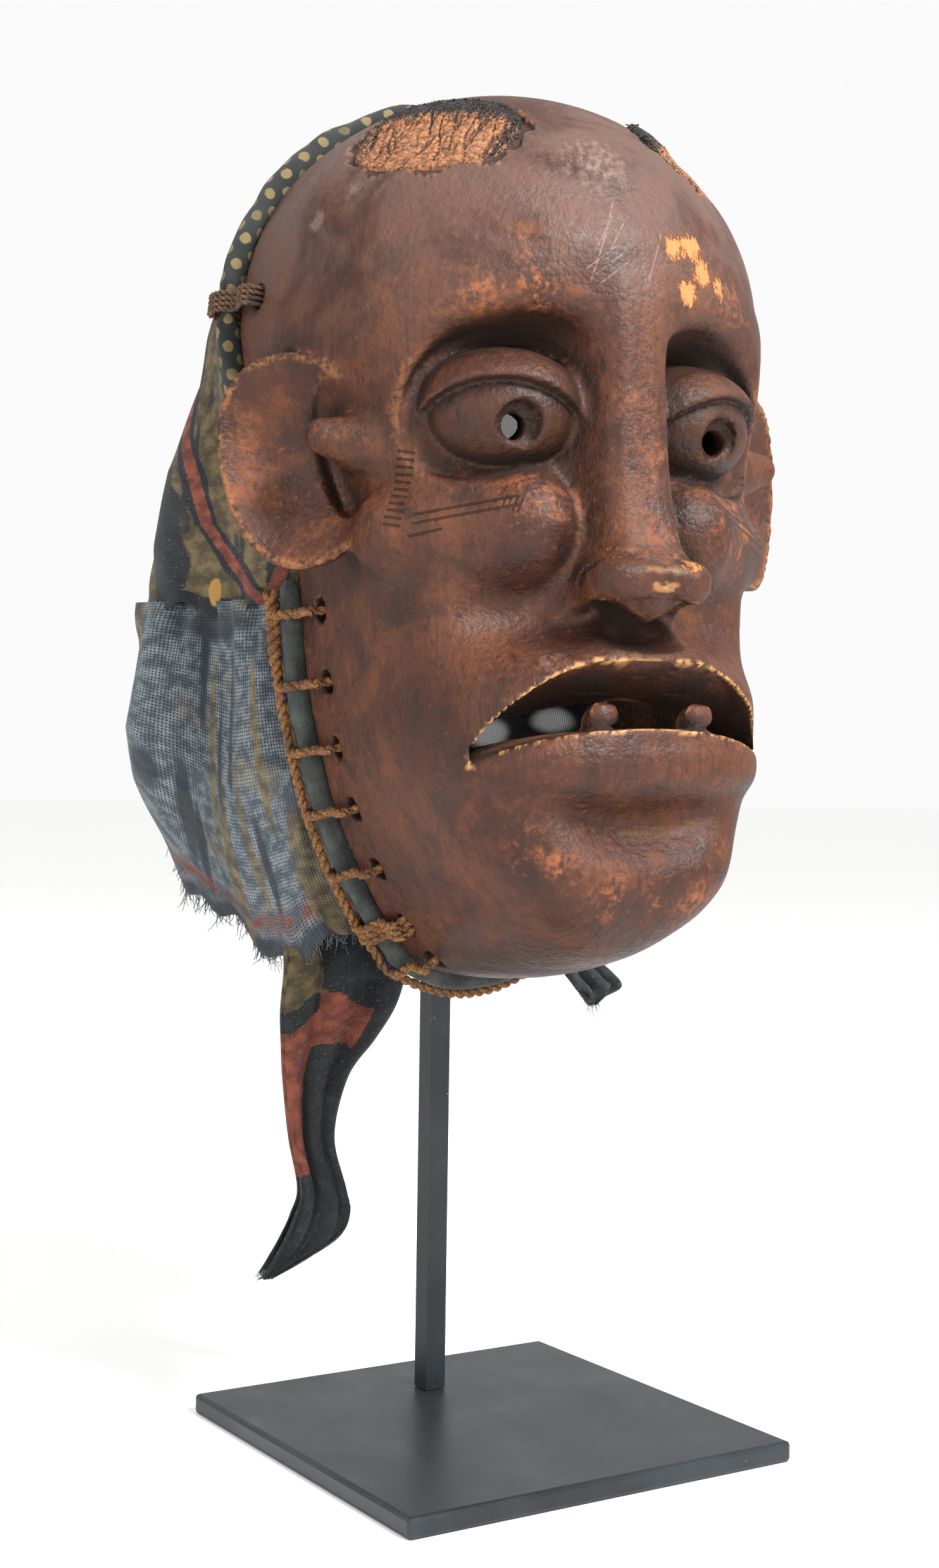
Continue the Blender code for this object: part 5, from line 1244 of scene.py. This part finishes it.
def make_roll():
    """Dark roll of cloth round the jaw that the lacing holds on."""
    path = rim_line(jaw_angles(), ROLL_OUT, ROLL_RADIUS - 0.0001, 20)
    length = run_along(path)
    sides = 20
    angle = 2 * math.pi * np.arange(sides) / sides
    wave = 0.05 * np.sin(2 * angle + length[:, None] / 0.009) + 0.05 * np.sin(length / 0.0045)[:, None]
    ends = np.minimum(1.0, 0.5 + np.minimum(length, length[-1] - length) / 0.005)
    verts, faces, uv = tube(path, ROLL_RADIUS * (0.97 + wave) * ends[:, None], sides)
    return put("jaw_roll", verts, faces, dark_cotton(), ["rim_roll"], uv)


def loop_path(point, normal, profile, shift=0.0):
    """Closed smooth way of one turn through a lacing hole, moved a little along the rim."""
    along = Vector((normal.z, 0.0, -normal.x)) * shift
    turn = [(point.x + normal.x * u + along.x, RIM_Y + v, point.z + normal.z * u + along.z) for u, v in profile]
    return smooth_line(turn, 8, True)


def make_lacing():
    """Twisted fibre cord along the jaw roll, with a turn through each hole, a plait below the ear and a knot."""
    around = ROLL_RADIUS + CORD_RADIUS + GAP
    out, back = ROLL_OUT + around * math.cos(CORD_LEAN), SEAT + ROLL_RADIUS + around * math.sin(CORD_LEAN)
    path = rim_line(jaw_angles()[1:-1], out, back, 24)
    length = run_along(path)
    near_top = np.exp(-(np.minimum(length, length[-1] - length) / 0.026) ** 4)
    radius = CORD_RADIUS * (1.0 + 0.55 * near_top)
    pieces = [rope(path, radius, 0.0075, 8, seed=1)]
    profile = loop_profile(ROLL_RADIUS, ROLL_OUT, CORD_RADIUS)
    for i, (point, normal) in enumerate(HOLES):
        if i % len(HOLE_HEIGHTS):
            pieces.append(rope(loop_path(point, normal, profile), CORD_RADIUS, 0.006, 7, True, i))
    for side in (0, len(HOLE_HEIGHTS)):
        point, normal = HOLES[side + 6]
        for shift in (-0.0026, 0.0024):
            turn = [(u + 0.0007, v + 0.0004) if v > 0.002 else (u, v) for u, v in profile]
            pieces.append(rope(loop_path(point, normal, turn, shift), CORD_RADIUS * 0.9, 0.006, 7, True, 30))
    verts, faces, uv = gather(pieces)
    return put("fibre_lacing", verts, faces, plant_fibre("plant fibre twisted by hand", "#432812", "#94622f"),
               ["lacing_cord"], uv)


def make_lashings():
    """Turns of dark fibre that tie the dotted band to each temple hole."""
    temple = loop_profile(BAND_RADIUS * 0.78, BAND_OUT, LASH_RADIUS)
    fibre = plant_fibre("plant fibre dark with oil", "#1d110b", "#6d4a2c")
    for name, side in (("temple_lashing_right", 0), ("temple_lashing_left", len(HOLE_HEIGHTS))):
        point, normal = HOLES[side]
        pieces = [rope(loop_path(point, normal, temple, shift), 0.0011, 0.005, 6, True, k)
                  for k, shift in enumerate((-0.0027, -0.0009, 0.0009, 0.0027))]
        verts, faces, uv = gather(pieces)
        put(name.replace("temple", "fibre"), verts, faces, fibre, [name], uv)


def hood_sheet(columns, levels, limp=1.0):
    """Points and flat places of the hood over fine columns and rows, creased as far as the cloth is limp."""
    fine = smooth_line(HOOD_ROWS, ROW_STEPS)
    verts, place = [], []
    for level in levels:
        index = level * ROW_STEPS
        i = min(int(index), len(fine) - 2)
        row = fine[i] + (fine[i + 1] - fine[i]) * (index - i)
        verts.append([hood_spot(u, row) for u in columns])
        place.append([(u, level) for u in columns])
    verts = np.array(verts)
    across = np.linalg.norm(np.diff(verts, axis=1), axis=2)
    flat_u = np.concatenate([np.zeros((len(levels), 1)), np.cumsum(across, axis=1)], axis=1).mean(axis=0)
    down = np.linalg.norm(np.diff(verts, axis=0), axis=2).mean(axis=1)
    flat_v = np.concatenate([[0], np.cumsum(down)])
    uu, vv = np.meshgrid(flat_u, flat_v)
    du = np.gradient(verts, axis=1)
    dv = np.gradient(verts, axis=0)
    normal = np.cross(du, dv)
    normal /= np.maximum(np.linalg.norm(normal, axis=2), 1e-9)[..., None]
    outward = verts[..., :2] - (0.0, 0.015)
    normal *= np.sign(np.einsum("ijk,ijk->ij", normal[..., :2], outward))[..., None]
    place = np.array(place)
    bulge = np.interp(place[..., 1], *zip(*HOOD_BULGE))
    full = bulge * np.exp(-((1.0 - np.abs(place[..., 0]) - 0.43) / 0.17) ** 2)
    verts = verts + normal * (limp * crumples(uu, vv, place) + full)[..., None]
    return verts.reshape(-1, 3), np.stack([uu.ravel(), vv.ravel()], axis=1), place.reshape(-1, 2)


def hood_spot(u, row):
    """Point of the hood: u runs from -1 at the right rim to 1 at the left, on one row."""
    level, x1, y1, x2, y2, deep = row
    rim, _ = rim_point(rim_angle(min(level, 0.4545), 1))
    edge_y = float(np.interp(level, *zip(*HOOD_EDGE)))
    t = 1.0 - abs(u)
    c = ((1 - t) ** 3, 3 * (1 - t) ** 2 * t, 3 * (1 - t) * t * t, t ** 3)
    x = c[0] * (rim.x - TUCK) + c[1] * x1 + c[2] * x2
    y = c[0] * edge_y + c[1] * y1 + c[2] * y2 + c[3] * deep
    z = level
    if level < SEAM_LEVEL:
        g = min(1.0, max(0.0, (t - 0.22) / 0.43))
        g = g * g * (3 - 2 * g)
        high = SEAM_LEVEL - (SEAM_LEVEL - level) * (SEAM_LEVEL - HEM_BACK) / (SEAM_LEVEL - HEM_FRONT)
        z = level + (high - level) * g
        z -= 0.0075 * math.exp(-((t - 0.20) / 0.09) ** 2) * (SEAM_LEVEL - level) / (SEAM_LEVEL - HEM_FRONT)
    loose = min(1.0, t / 0.12) * min(1.0, max(0.0, (0.400 - level) / 0.15))
    wave = FOLD_DEPTH * loose * math.sin(2 * math.pi * FOLDS * t + 0.9 * math.copysign(1.0, u))
    dx = 3 * (1 - t) ** 2 * (x1 - rim.x) + 6 * (1 - t) * t * (x2 - x1) - 3 * t * t * x2
    dy = 3 * (1 - t) ** 2 * (y1 - edge_y) + 6 * (1 - t) * t * (y2 - y1) + 3 * t * t * (deep - y2)
    size = math.hypot(dx, dy)
    if t < 1.0:
        x += wave * dy / size
        y -= wave * dx / size
    return (math.copysign(x, u) if t < 1.0 else 0.0, y, z)


def crumples(uu, vv, place):
    """Small creases of the hood, ruffled where it is gathered along the seam."""
    t = 1.0 - np.abs(place[..., 0])
    held = np.clip(t / 0.07, 0, 1)
    seam = np.exp(-(np.abs(place[..., 1] - SEAM_ROW) / 0.8) ** 2)
    long = np.sin(uu / 0.0052 + 1.6 * np.sin(vv / 0.021) + 0.9 * np.sin(uu / 0.017))
    slow = np.sin(uu / 0.0125 + 1.3 * np.sin(vv / 0.030 + 1.0)) * np.sin(vv / 0.027 + 0.6 + uu / 0.05)
    tight = np.sin(uu / 0.0021 + 0.8 * np.sin(vv / 0.006))
    return held * (0.0007 * long + 0.0012 * slow + 0.0008 * seam * tight + 0.0010 * seam * long)


def cloth_piece(name, verts, faces, material, node, uv, marks, thick):
    """Sheet of cloth with a real thickness and its edges closed."""
    piece = put(name, verts, faces, material, [node], uv, marks)
    wall = piece.modifiers.new("Cloth thickness", "SOLIDIFY")
    wall.thickness = thick
    wall.offset = 0.0
    return piece


def blots(place, spots, crisp=3.0):
    """How far each cloth point is inside any of some blots, given as u, row, half width, half height."""
    found = np.zeros(len(place))
    for u, row, half, tall in spots:
        away = ((place[:, 0] - u) / half) ** 2 + ((place[:, 1] - row) / tall) ** 2
        found = np.maximum(found, np.exp(-away ** crisp))
    return found


def band_mark(place, line, half):
    """How far each cloth point is inside a slanting band, given as (row, u) along its middle."""
    middle = np.interp(place[:, 1], [p[0] for p in line], [p[1] for p in line])
    inside = np.exp(-(np.abs(place[:, 0] - middle) / half) ** 4)
    return inside * (place[:, 1] >= line[0][0]) * (place[:, 1] <= line[-1][0])


def make_hood():
    """Printed hood, and the gauze panel let into it below the seam on the right."""
    columns = np.linspace(-1.0, 1.0, 281)
    levels = np.linspace(0.0, HEM_ROW, 141)
    verts, uv, place = hood_sheet(columns, levels)
    split = -GAUZE_END + 0.33
    u, row = place.T
    low = ramp(row, 8.5, 9.0) * (row < SEAM_ROW + 0.01) * ramp(u, split, split - 0.03)
    verts[:, 2] += low * (0.0026 * np.sin(uv[:, 0] / 0.0052) + 0.0014 * np.sin(uv[:, 0] / 0.0019) - 0.001)
    seam = np.exp(-((row - 8.95) / 0.24) ** 2) * (u < split)
    wide = len(columns)
    faces = []
    for i in range(len(levels) - 1):
        for j in range(wide - 1):
            middle = (columns[j] + columns[j + 1]) / 2
            if levels[i] < SEAM_ROW - 1e-6 or middle > split:
                a = i * wide + j
                faces.append((a, a + 1, a + wide + 1, a + wide))
    used = np.zeros(len(verts), bool)
    used[np.array(faces).ravel()] = True
    index = np.cumsum(used) - 1
    faces = [tuple(int(index[k]) for k in f) for f in faces]
    verts, uv, place = verts[used], uv[used], place[used]
    # Navy print and seam, with one wide blot of painted shade behind the mouth
    dark = [blots(place, NAVY_AND_SHADE_BLOTS, 1.1), 0.9 * band_mark(place, STRIPE, STRIPE_HALF * 2.1), seam[used]]
    marks = {"navy_and_shade": np.max(dark, axis=0),
             "rust": np.maximum(band_mark(place, STRIPE, STRIPE_HALF), blots(place, RUST_BLOTS)),
             "ochre": blots(place, OCHRE_BLOTS),
             "thin": np.max([blots(place, [spot[:4]]) * spot[4] for spot in WORN_THIN], axis=0)}
    hood = cloth_piece("printed_hood", verts, faces, printed_cotton(), "hood_cotton", uv, marks, COTTON_THICK)

    end = split - SEAM_GAP
    columns = np.linspace(-1.0, end, 121)
    levels = np.linspace(GAUZE_ROW, HEM_ROW, 95)
    verts, uv, place = hood_sheet(columns, levels, 1.9)
    row = place[:, 1]
    ragged = ramp(row, 13.0, 14.0)
    verts[:, 2] += ragged * (0.0035 * np.sin(uv[:, 0] / 0.0061) + 0.0022 * np.sin(uv[:, 0] / 0.0023) + 0.002)
    # Dark hem and navy stains, with painted shade in the folds
    marks = {"navy_and_shade": np.maximum(0.9 * blots(place, GAUZE_NAVY_AND_FOLD_SHADE, 1.0), ramp(row, RED_HEM_ROW, RED_HEM_ROW + 0.5)),
             "rust": np.exp(-((row - RED_HEM_ROW) / 0.16) ** 2),
             "ochre": blots(place, GAUZE_OCHRE)}
    faces = grid_faces(len(levels), len(columns))
    gauze = cloth_piece("gauze_panel", verts, faces, cotton_gauze(), "hood_gauze", uv, marks, GAUZE_THICK)
    return verts.reshape(len(levels), len(columns), 3)[-1]


def tail_sheet(rows, steps, folds, wide, thick):
    """Points of a strip of cloth gathered into folds between a right and a left edge, row by row."""
    rows = smooth_line(rows, steps)
    s = np.linspace(0.0, 1.0, wide)
    zig = np.abs(((s * folds) % 2.0) - 1.0)
    zig = zig * zig * (3 - 2 * zig)
    layer = (s - 0.5) * 2.0
    verts, place = [], []
    for i, (z, a, b, back) in enumerate(rows):
        down = i / (len(rows) - 1)
        x = a + (b - a) * (0.02 + 0.96 * zig)
        share = (x - a) / (b - a)
        fold = 0.0012 * np.sin(2 * math.pi * (2.6 * share + 0.35 * math.sin(4.5 * down)) + 1.0)
        fold = fold + 0.0026 * np.exp(-((share - 0.33) / 0.045) ** 2)
        fold = fold + 0.0004 * np.sin(2 * math.pi * 7 * share + 5 * down)
        y = TAIL_Y + back - thick * layer * 0.80 + fold
        drop = 0.0012 * np.sin(17 * s + 2.0 * down) * down
        verts.append(np.stack([x, y, z + drop], axis=1))
        place.append(np.stack([s, np.full(wide, down)], axis=1))
    verts = np.array(verts)
    across = np.linalg.norm(np.diff(verts, axis=1), axis=2)
    flat_u = np.concatenate([[0], np.cumsum(across.mean(axis=0))])
    flat_v = np.concatenate([[0], np.cumsum(np.linalg.norm(np.diff(verts, axis=0), axis=2).mean(axis=1))])
    uu, vv = np.meshgrid(flat_u, flat_v)
    flat = np.stack([uu.ravel(), vv.ravel()], axis=1)
    return verts.reshape(-1, 3), flat, np.array(place).reshape(-1, 2), len(rows)


def make_tails():
    """Gathered end of the cloth at the right corner, and the short dark one at the left."""
    cotton = bpy.data.materials["cotton woven and printed"]
    for name, node, rows, folds, wide in (("hanging_tail", "cloth_tail", TAIL_ROWS, 3.0, 91),
                                          ("left_tip", "cloth_tip", TIP_ROWS, 3.0, 61)):
        verts, uv, place, count = tail_sheet(rows, 14, folds, wide, TAIL_THICK)
        faces = grid_faces(count, wide)
        s, down = place[:, 0], place[:, 1]
        if node == "cloth_tail":
            x, z = verts[:, 0], verts[:, 2]
            level, right, left = np.array([row[:3] for row in sorted(TAIL_ROWS)]).T
            share = (x - np.interp(z, level, right)) / np.interp(z, level, left - right)
            slant = z + 0.0035 * np.sin(x / 0.006)
            narrow = share < 0.33
            rust = np.where(narrow, (slant < 0.1445) & (slant > 0.0930),
                            (slant < 0.1510) & (slant > 0.1340) & (share < 0.78))
            navy_and_shade = np.where(narrow, ((slant < 0.1510) & (slant >= 0.1445)) | (slant <= 0.0930),
                            (slant < 0.1850) & (rust == 0))
            sheer = 0.5 * np.exp(-((share - 0.70) / 0.14) ** 4) * (z < 0.158) * (z > 0.118)
            marks = {"navy_and_shade": navy_and_shade, "rust": rust, "ochre": np.zeros(len(s)),
                     "thin": np.maximum(0.45 * ramp(z, 0.074, 0.064), sheer)}
        else:
            marks = {"navy_and_shade": np.ones(len(s)), "rust": np.zeros(len(s)), "ochre": np.zeros(len(s)),
                     "thin": 0.3 * (down > 0.7)}
        piece = cloth_piece(name, verts, faces, cotton, node, uv, marks, COTTON_THICK)


def make_frays(edges):
    """Loose threads along torn edges, each edge given as points, the way they hang, a length and how many."""
    rng = np.random.default_rng(21)
    pieces = []
    for line, way, reach, count in edges:
        line = np.asarray(line)
        for _ in range(count):
            k = rng.uniform(0, len(line) - 1.001)
            start = line[int(k)] + (line[int(k) + 1] - line[int(k)]) * (k % 1)
            long = reach * rng.uniform(0.4, 1.3)
            curl = rng.normal(0, 0.28, (5, 3)).cumsum(axis=0)
            steps = (np.array(way) + curl) * (long / 5)
            path = np.concatenate([[start - np.array(way) * 0.0008], start + steps.cumsum(axis=0)])
            path[:, 2] = np.maximum(path[:, 2], 0.058)
            pieces.append(tube(path, np.linspace(0.00020, 0.00010, 6)[:, None], 3))
    verts, faces, uv = gather(pieces)
    fray = plant_fibre("cotton thread frayed", "#23282e", "#8d9397")
    return put("frayed_threads", verts, faces, fray, None, uv)


def make_blue_thread():
    """Blue thread wound along the lacing below the ear and at the corner of the jaw."""
    pieces = []
    for top, low in ((0.277, 0.252), (0.1800, 0.1640)):
        ends = [rim_angle(h, -1) for h in np.linspace(top, low, 9)]
        path = rim_line(ends, ROLL_OUT + ROLL_RADIUS * 1.15, ROLL_RADIUS * 1.9, 8)
        n = np.arange(len(path))
        path[:, 0] -= 0.0006 * np.sin(n / 3.1)
        path[:, 1] += 0.0008 * np.sin(n / 4.3)
        pieces.append(rope(path, 0.0011, 0.004, 6, seed=3))
    verts, faces, uv = gather(pieces)
    blue = plant_fibre("cotton thread dyed blue", "#141a33", "#33477c")
    return put("blue_thread", verts, faces, blue, None, uv)


def hide_sheet(side):
    """Cracked top of one patch of hide, as points, faces, crack depth and hairiness."""
    rings, spokes = 44, 132
    long, across = np.array(HAIR_LONG), np.array(HAIR_ACROSS)
    out = np.cross(across, long)
    out = out / np.linalg.norm(out) * (1 if out[2] > 0 else -1)
    marks = [(0.0, 0.0, 0.0)]
    for ring in range(1, rings + 1):
        for spoke in range(spokes):
            angle = 2 * math.pi * spoke / spokes
            c, s = math.cos(angle), math.sin(angle)
            r = (abs(c) ** HAIR_POWER + abs(s) ** HAIR_POWER) ** (-1 / HAIR_POWER) * ring / rings
            marks.append((c * r, s * r, ring / rings))
    marks = np.array(marks)
    u, v = marks[:, 0] * HAIR_HALF[0] * 0.97, marks[:, 1] * HAIR_HALF[1] * 0.97
    spots = np.array(HAIR_AT) + np.outer(u, long) + np.outer(v, across)
    rng = np.random.default_rng(11 if side < 0 else 12)
    lines = np.zeros(len(u))
    for _ in range(95):
        at, lean, wave, half = [rng.uniform(*ends)
                                for ends in ((-0.029, 0.029), (-0.25, 0.25), (0, 6.28), (1.5e-4, 5e-4))]
        top, low = sorted(rng.uniform(-0.022, 0.020, 2))
        path = at + lean * v + 0.0012 * np.sin(v / 0.004 + wave)
        inside = ramp(v, top, top + 0.002) * ramp(v, low, low - 0.002)
        lines = np.maximum(lines, np.exp(-((u - path) / half) ** 2) * inside)
    lumps = (np.sin(u / 0.0011 + 2 * np.sin(v / 0.003)) + np.sin(v / 0.0017 + 3 * np.sin(u / 0.004))) * 0.5
    rise = HAIR_RISE * (0.05 + 0.95 * np.clip((v + 0.002) / 0.014, 0.0, 1.0)) - 0.0006 * (v < 0.004)
    level = rise + 0.00022 * lumps - 0.0011 * lines
    level = np.where(marks[:, 2] > 0.97, -0.0016, level)
    low, high = np.full(len(u), -0.02), np.full(len(u), 0.02)
    for _ in range(26):
        mid = (low + high) / 2
        inside = head_form([spots[:, i] + out[i] * mid for i in range(3)]) < level
        low, high = np.where(inside, mid, low), np.where(inside, high, mid)
    verts = spots + out * low[:, None]
    verts[:, 0] *= side
    faces = [(0, 1 + k, 1 + (k + 1) % spokes) for k in range(spokes)]
    for ring in range(1, rings):
        a, b = 1 + (ring - 1) * spokes, 1 + ring * spokes
        faces += [(a + k, b + k, b + (k + 1) % spokes, a + (k + 1) % spokes) for k in range(spokes)]
    hairy = ramp(v, 0.0040, 0.012) * 0.70 + 0.25 * (np.abs(u) > 0.022)
    return verts, faces, lines, np.clip(hairy, 0, 0.7)


def hair_tufts(skin, name, seed):
    """Short bent hairs strewn over the hairy part of a patch, as one plain mesh."""
    tree = bpy.data.node_groups.new(name, "GeometryNodeTree")
    tree.interface.new_socket("Geometry", in_out="INPUT", socket_type="NodeSocketGeometry")
    tree.interface.new_socket("Hair length", in_out="INPUT", socket_type="NodeSocketFloat")
    tree.interface.new_socket("Hairs per square metre", in_out="INPUT", socket_type="NodeSocketFloat")
    tree.interface.new_socket("Geometry", in_out="OUTPUT", socket_type="NodeSocketGeometry")
    source = tree.nodes.new("NodeGroupInput")
    sink = tree.nodes.new("NodeGroupOutput")
    hairy = add(tree, "GeometryNodeInputNamedAttribute", {"Name": "hairy"}, data_type="FLOAT", out="Attribute")
    points = add(tree, "GeometryNodeDistributePointsOnFaces",
                 {"Mesh": source.outputs[0], "Density": times(tree, hairy, source.outputs[2]), "Seed": seed})
    bend = times(tree, source.outputs[1], 0.6)
    middle = add(tree, "ShaderNodeCombineXYZ", {0: bend, 2: bend})
    tip = add(tree, "ShaderNodeCombineXYZ", {0: source.outputs[1], 2: bend})
    line = add(tree, "GeometryNodeCurveQuadraticBezier", {"Resolution": 4, "Start": (0.0, 0.0, -0.0002),
                                                          "Middle": middle, "End": tip})
    ring = add(tree, "GeometryNodeCurvePrimitiveCircle", {"Resolution": 3, "Radius": 0.00017})
    hair = add(tree, "GeometryNodeCurveToMesh", {"Curve": line, "Profile Curve": ring, "Fill Caps": True})
    turn = add(tree, "FunctionNodeRandomValue", {"Min": (-0.5, -0.5, 0.0), "Max": (0.5, 0.5, 6.283), "Seed": seed},
               data_type="FLOAT_VECTOR")
    grown = add(tree, "FunctionNodeRandomValue", {"Min": 0.5, "Max": 1.4, "Seed": seed + 1}, data_type="FLOAT")
    placed = add(tree, "GeometryNodeInstanceOnPoints", {"Points": points, "Instance": hair, "Scale": grown,
                                                        "Rotation": points.node.outputs["Rotation"]})
    spun = add(tree, "GeometryNodeRotateInstances", {"Instances": placed, "Rotation": turn})
    real = add(tree, "GeometryNodeRealizeInstances", {0: spun})
    dressed = add(tree, "GeometryNodeSetMaterial",
                  {"Geometry": real, "Material": bpy.data.materials["hair black and matted"]})
    tree.links.new(dressed, sink.inputs[0])
    tufts = bpy.data.objects.new(name, skin.data.copy())
    bpy.context.scene.collection.objects.link(tufts)
    grower = tufts.modifiers.new("Hair", "NODES")
    grower.node_group = tree
    sizes = {"Hair length": HAIR_REACH, "Hairs per square metre": HAIRS}
    for item in tree.interface.items_tree:
        if item.name in sizes:
            grower[item.identifier] = sizes[item.name]
    applied(tufts)
    return settle(tufts, None)


def make_hair():
    """Patch of hide in each bed of the crown, with the black hair left on it."""
    hide = worn_hide()
    black_hair()
    for name, node, side in (("hide_right", "hair_right", -1), ("hide_left", "hair_left", 1)):
        verts, faces, cracks, hairy = hide_sheet(side)
        if side > 0:
            faces = [tuple(reversed(f)) for f in faces]
        skin = put(name, verts, faces, hide, [node], marks={"crack": cracks, "hairy": hairy})
        hair_tufts(skin, name.replace("hide", "tufts"), 5 if side < 0 else 6)


def dress_stand():
    """Blackened steel on the plate and the rod."""
    steel = blackened_steel()
    for node in ("base_plate", "stand_rod"):
        piece = bpy.data.objects[node]
        for slot in piece.material_slots:
            slot.material = steel


def studio_floor():
    """Wide pale floor of matt paper, a little uneven in tone."""
    material, tree, shader = open_material("paper matt white", Roughness=0.9)
    spot = add(tree, "ShaderNodeTexCoord", out="Object")
    paper = add(tree, "ShaderNodeTexNoise", {"Vector": spot, "Scale": 3.0, "Detail": 2.0})
    surface(tree, shader, tint(tree, to_linear("#fafaf9"), to_linear("#fdfdfc"), paper))
    mesh = bpy.data.meshes.new("studio_floor")
    half = FLOOR_HALF
    mesh.from_pydata([(-half, -half, 0), (half, -half, 0), (half, half, 0), (-half, half, 0)], [], [(0, 1, 2, 3)])
    floor = bpy.data.objects.new("studio_floor", mesh)
    bpy.context.scene.collection.objects.link(floor)
    mesh.materials.append(material)


def studio_light():
    """White room light, a large soft light high in front, and a weaker one at the left."""
    world = bpy.data.worlds.new("white room")
    world.use_nodes = True
    world.node_tree.nodes["Background"].inputs["Color"].default_value = (1.0, 1.0, 1.0, 1.0)
    world.node_tree.nodes["Background"].inputs["Strength"].default_value = ROOM_LIGHT
    bpy.context.scene.world = world
    for name, spot, aim, size, power in LIGHTS:
        lamp = bpy.data.lights.new(name, "AREA")
        lamp.shape = "SQUARE"
        lamp.size = size
        lamp.energy = power
        holder = bpy.data.objects.new(name, lamp)
        way = Vector(spot) - Vector(aim)
        holder.matrix_world = Matrix.Translation(spot) @ way.to_track_quat("Z", "Y").to_matrix().to_4x4()
        bpy.context.scene.collection.objects.link(holder)


def studio_camera():
    """Camera at the photograph's place, with its lens in the photograph's frame."""
    a, e, r = CAMERA_ROUND, CAMERA_UP, CAMERA_ROLL
    back = Vector((math.sin(a) * math.cos(e), -math.cos(a) * math.cos(e), math.sin(e)))
    right = Vector((0, 0, 1)).cross(back).normalized()
    up = back.cross(right)
    right, up = right * math.cos(r) + up * math.sin(r), up * math.cos(r) - right * math.sin(r)
    eye = bpy.data.cameras.new("studio_camera")
    eye.sensor_fit = "VERTICAL"
    eye.sensor_height = FILM_HEIGHT
    eye.lens = CAMERA_REACH / FRAME_HEIGHT * FILM_HEIGHT
    holder = bpy.data.objects.new("studio_camera", eye)
    holder.matrix_world = Matrix((right, up, back)).transposed().to_4x4()
    holder.location = CAMERA_AT
    bpy.context.scene.collection.objects.link(holder)
    bpy.context.scene.camera = holder


def mask_frame():
    """Turn and lean of everything that hangs from the stand."""
    across = Vector((math.cos(MASK_TURN) * math.cos(MASK_LEAN),
                     math.sin(MASK_TURN) * math.cos(MASK_LEAN), math.sin(MASK_LEAN)))
    back = Vector((-math.sin(MASK_TURN), math.cos(MASK_TURN), 0.0))
    return Matrix((across, back, across.cross(back))).transposed().to_4x4()


POSE = mask_frame()
RIM = rim_table()
HOLES = lacing_holes()
bpy.context.scene.view_settings.view_transform = "Standard"
studio_camera()
studio_floor()
studio_light()
dress_stand()
make_mask()
make_hair()
make_band()
make_roll()
make_lacing()
make_lashings()
HEM = make_hood()
make_tails()
make_frays([(HEM, (0.0, 0.0, -1.0), 0.0040, 300),
            ([(-0.0735, TAIL_Y, 0.0605), (-0.0680, TAIL_Y, 0.0600)], (-0.5, 0, -0.8), 0.004, 30),
            ([(0.056, TAIL_Y, 0.1465), (0.061, TAIL_Y, 0.1465)], (0.4, 0, -0.8), 0.003, 25)])
make_blue_thread()
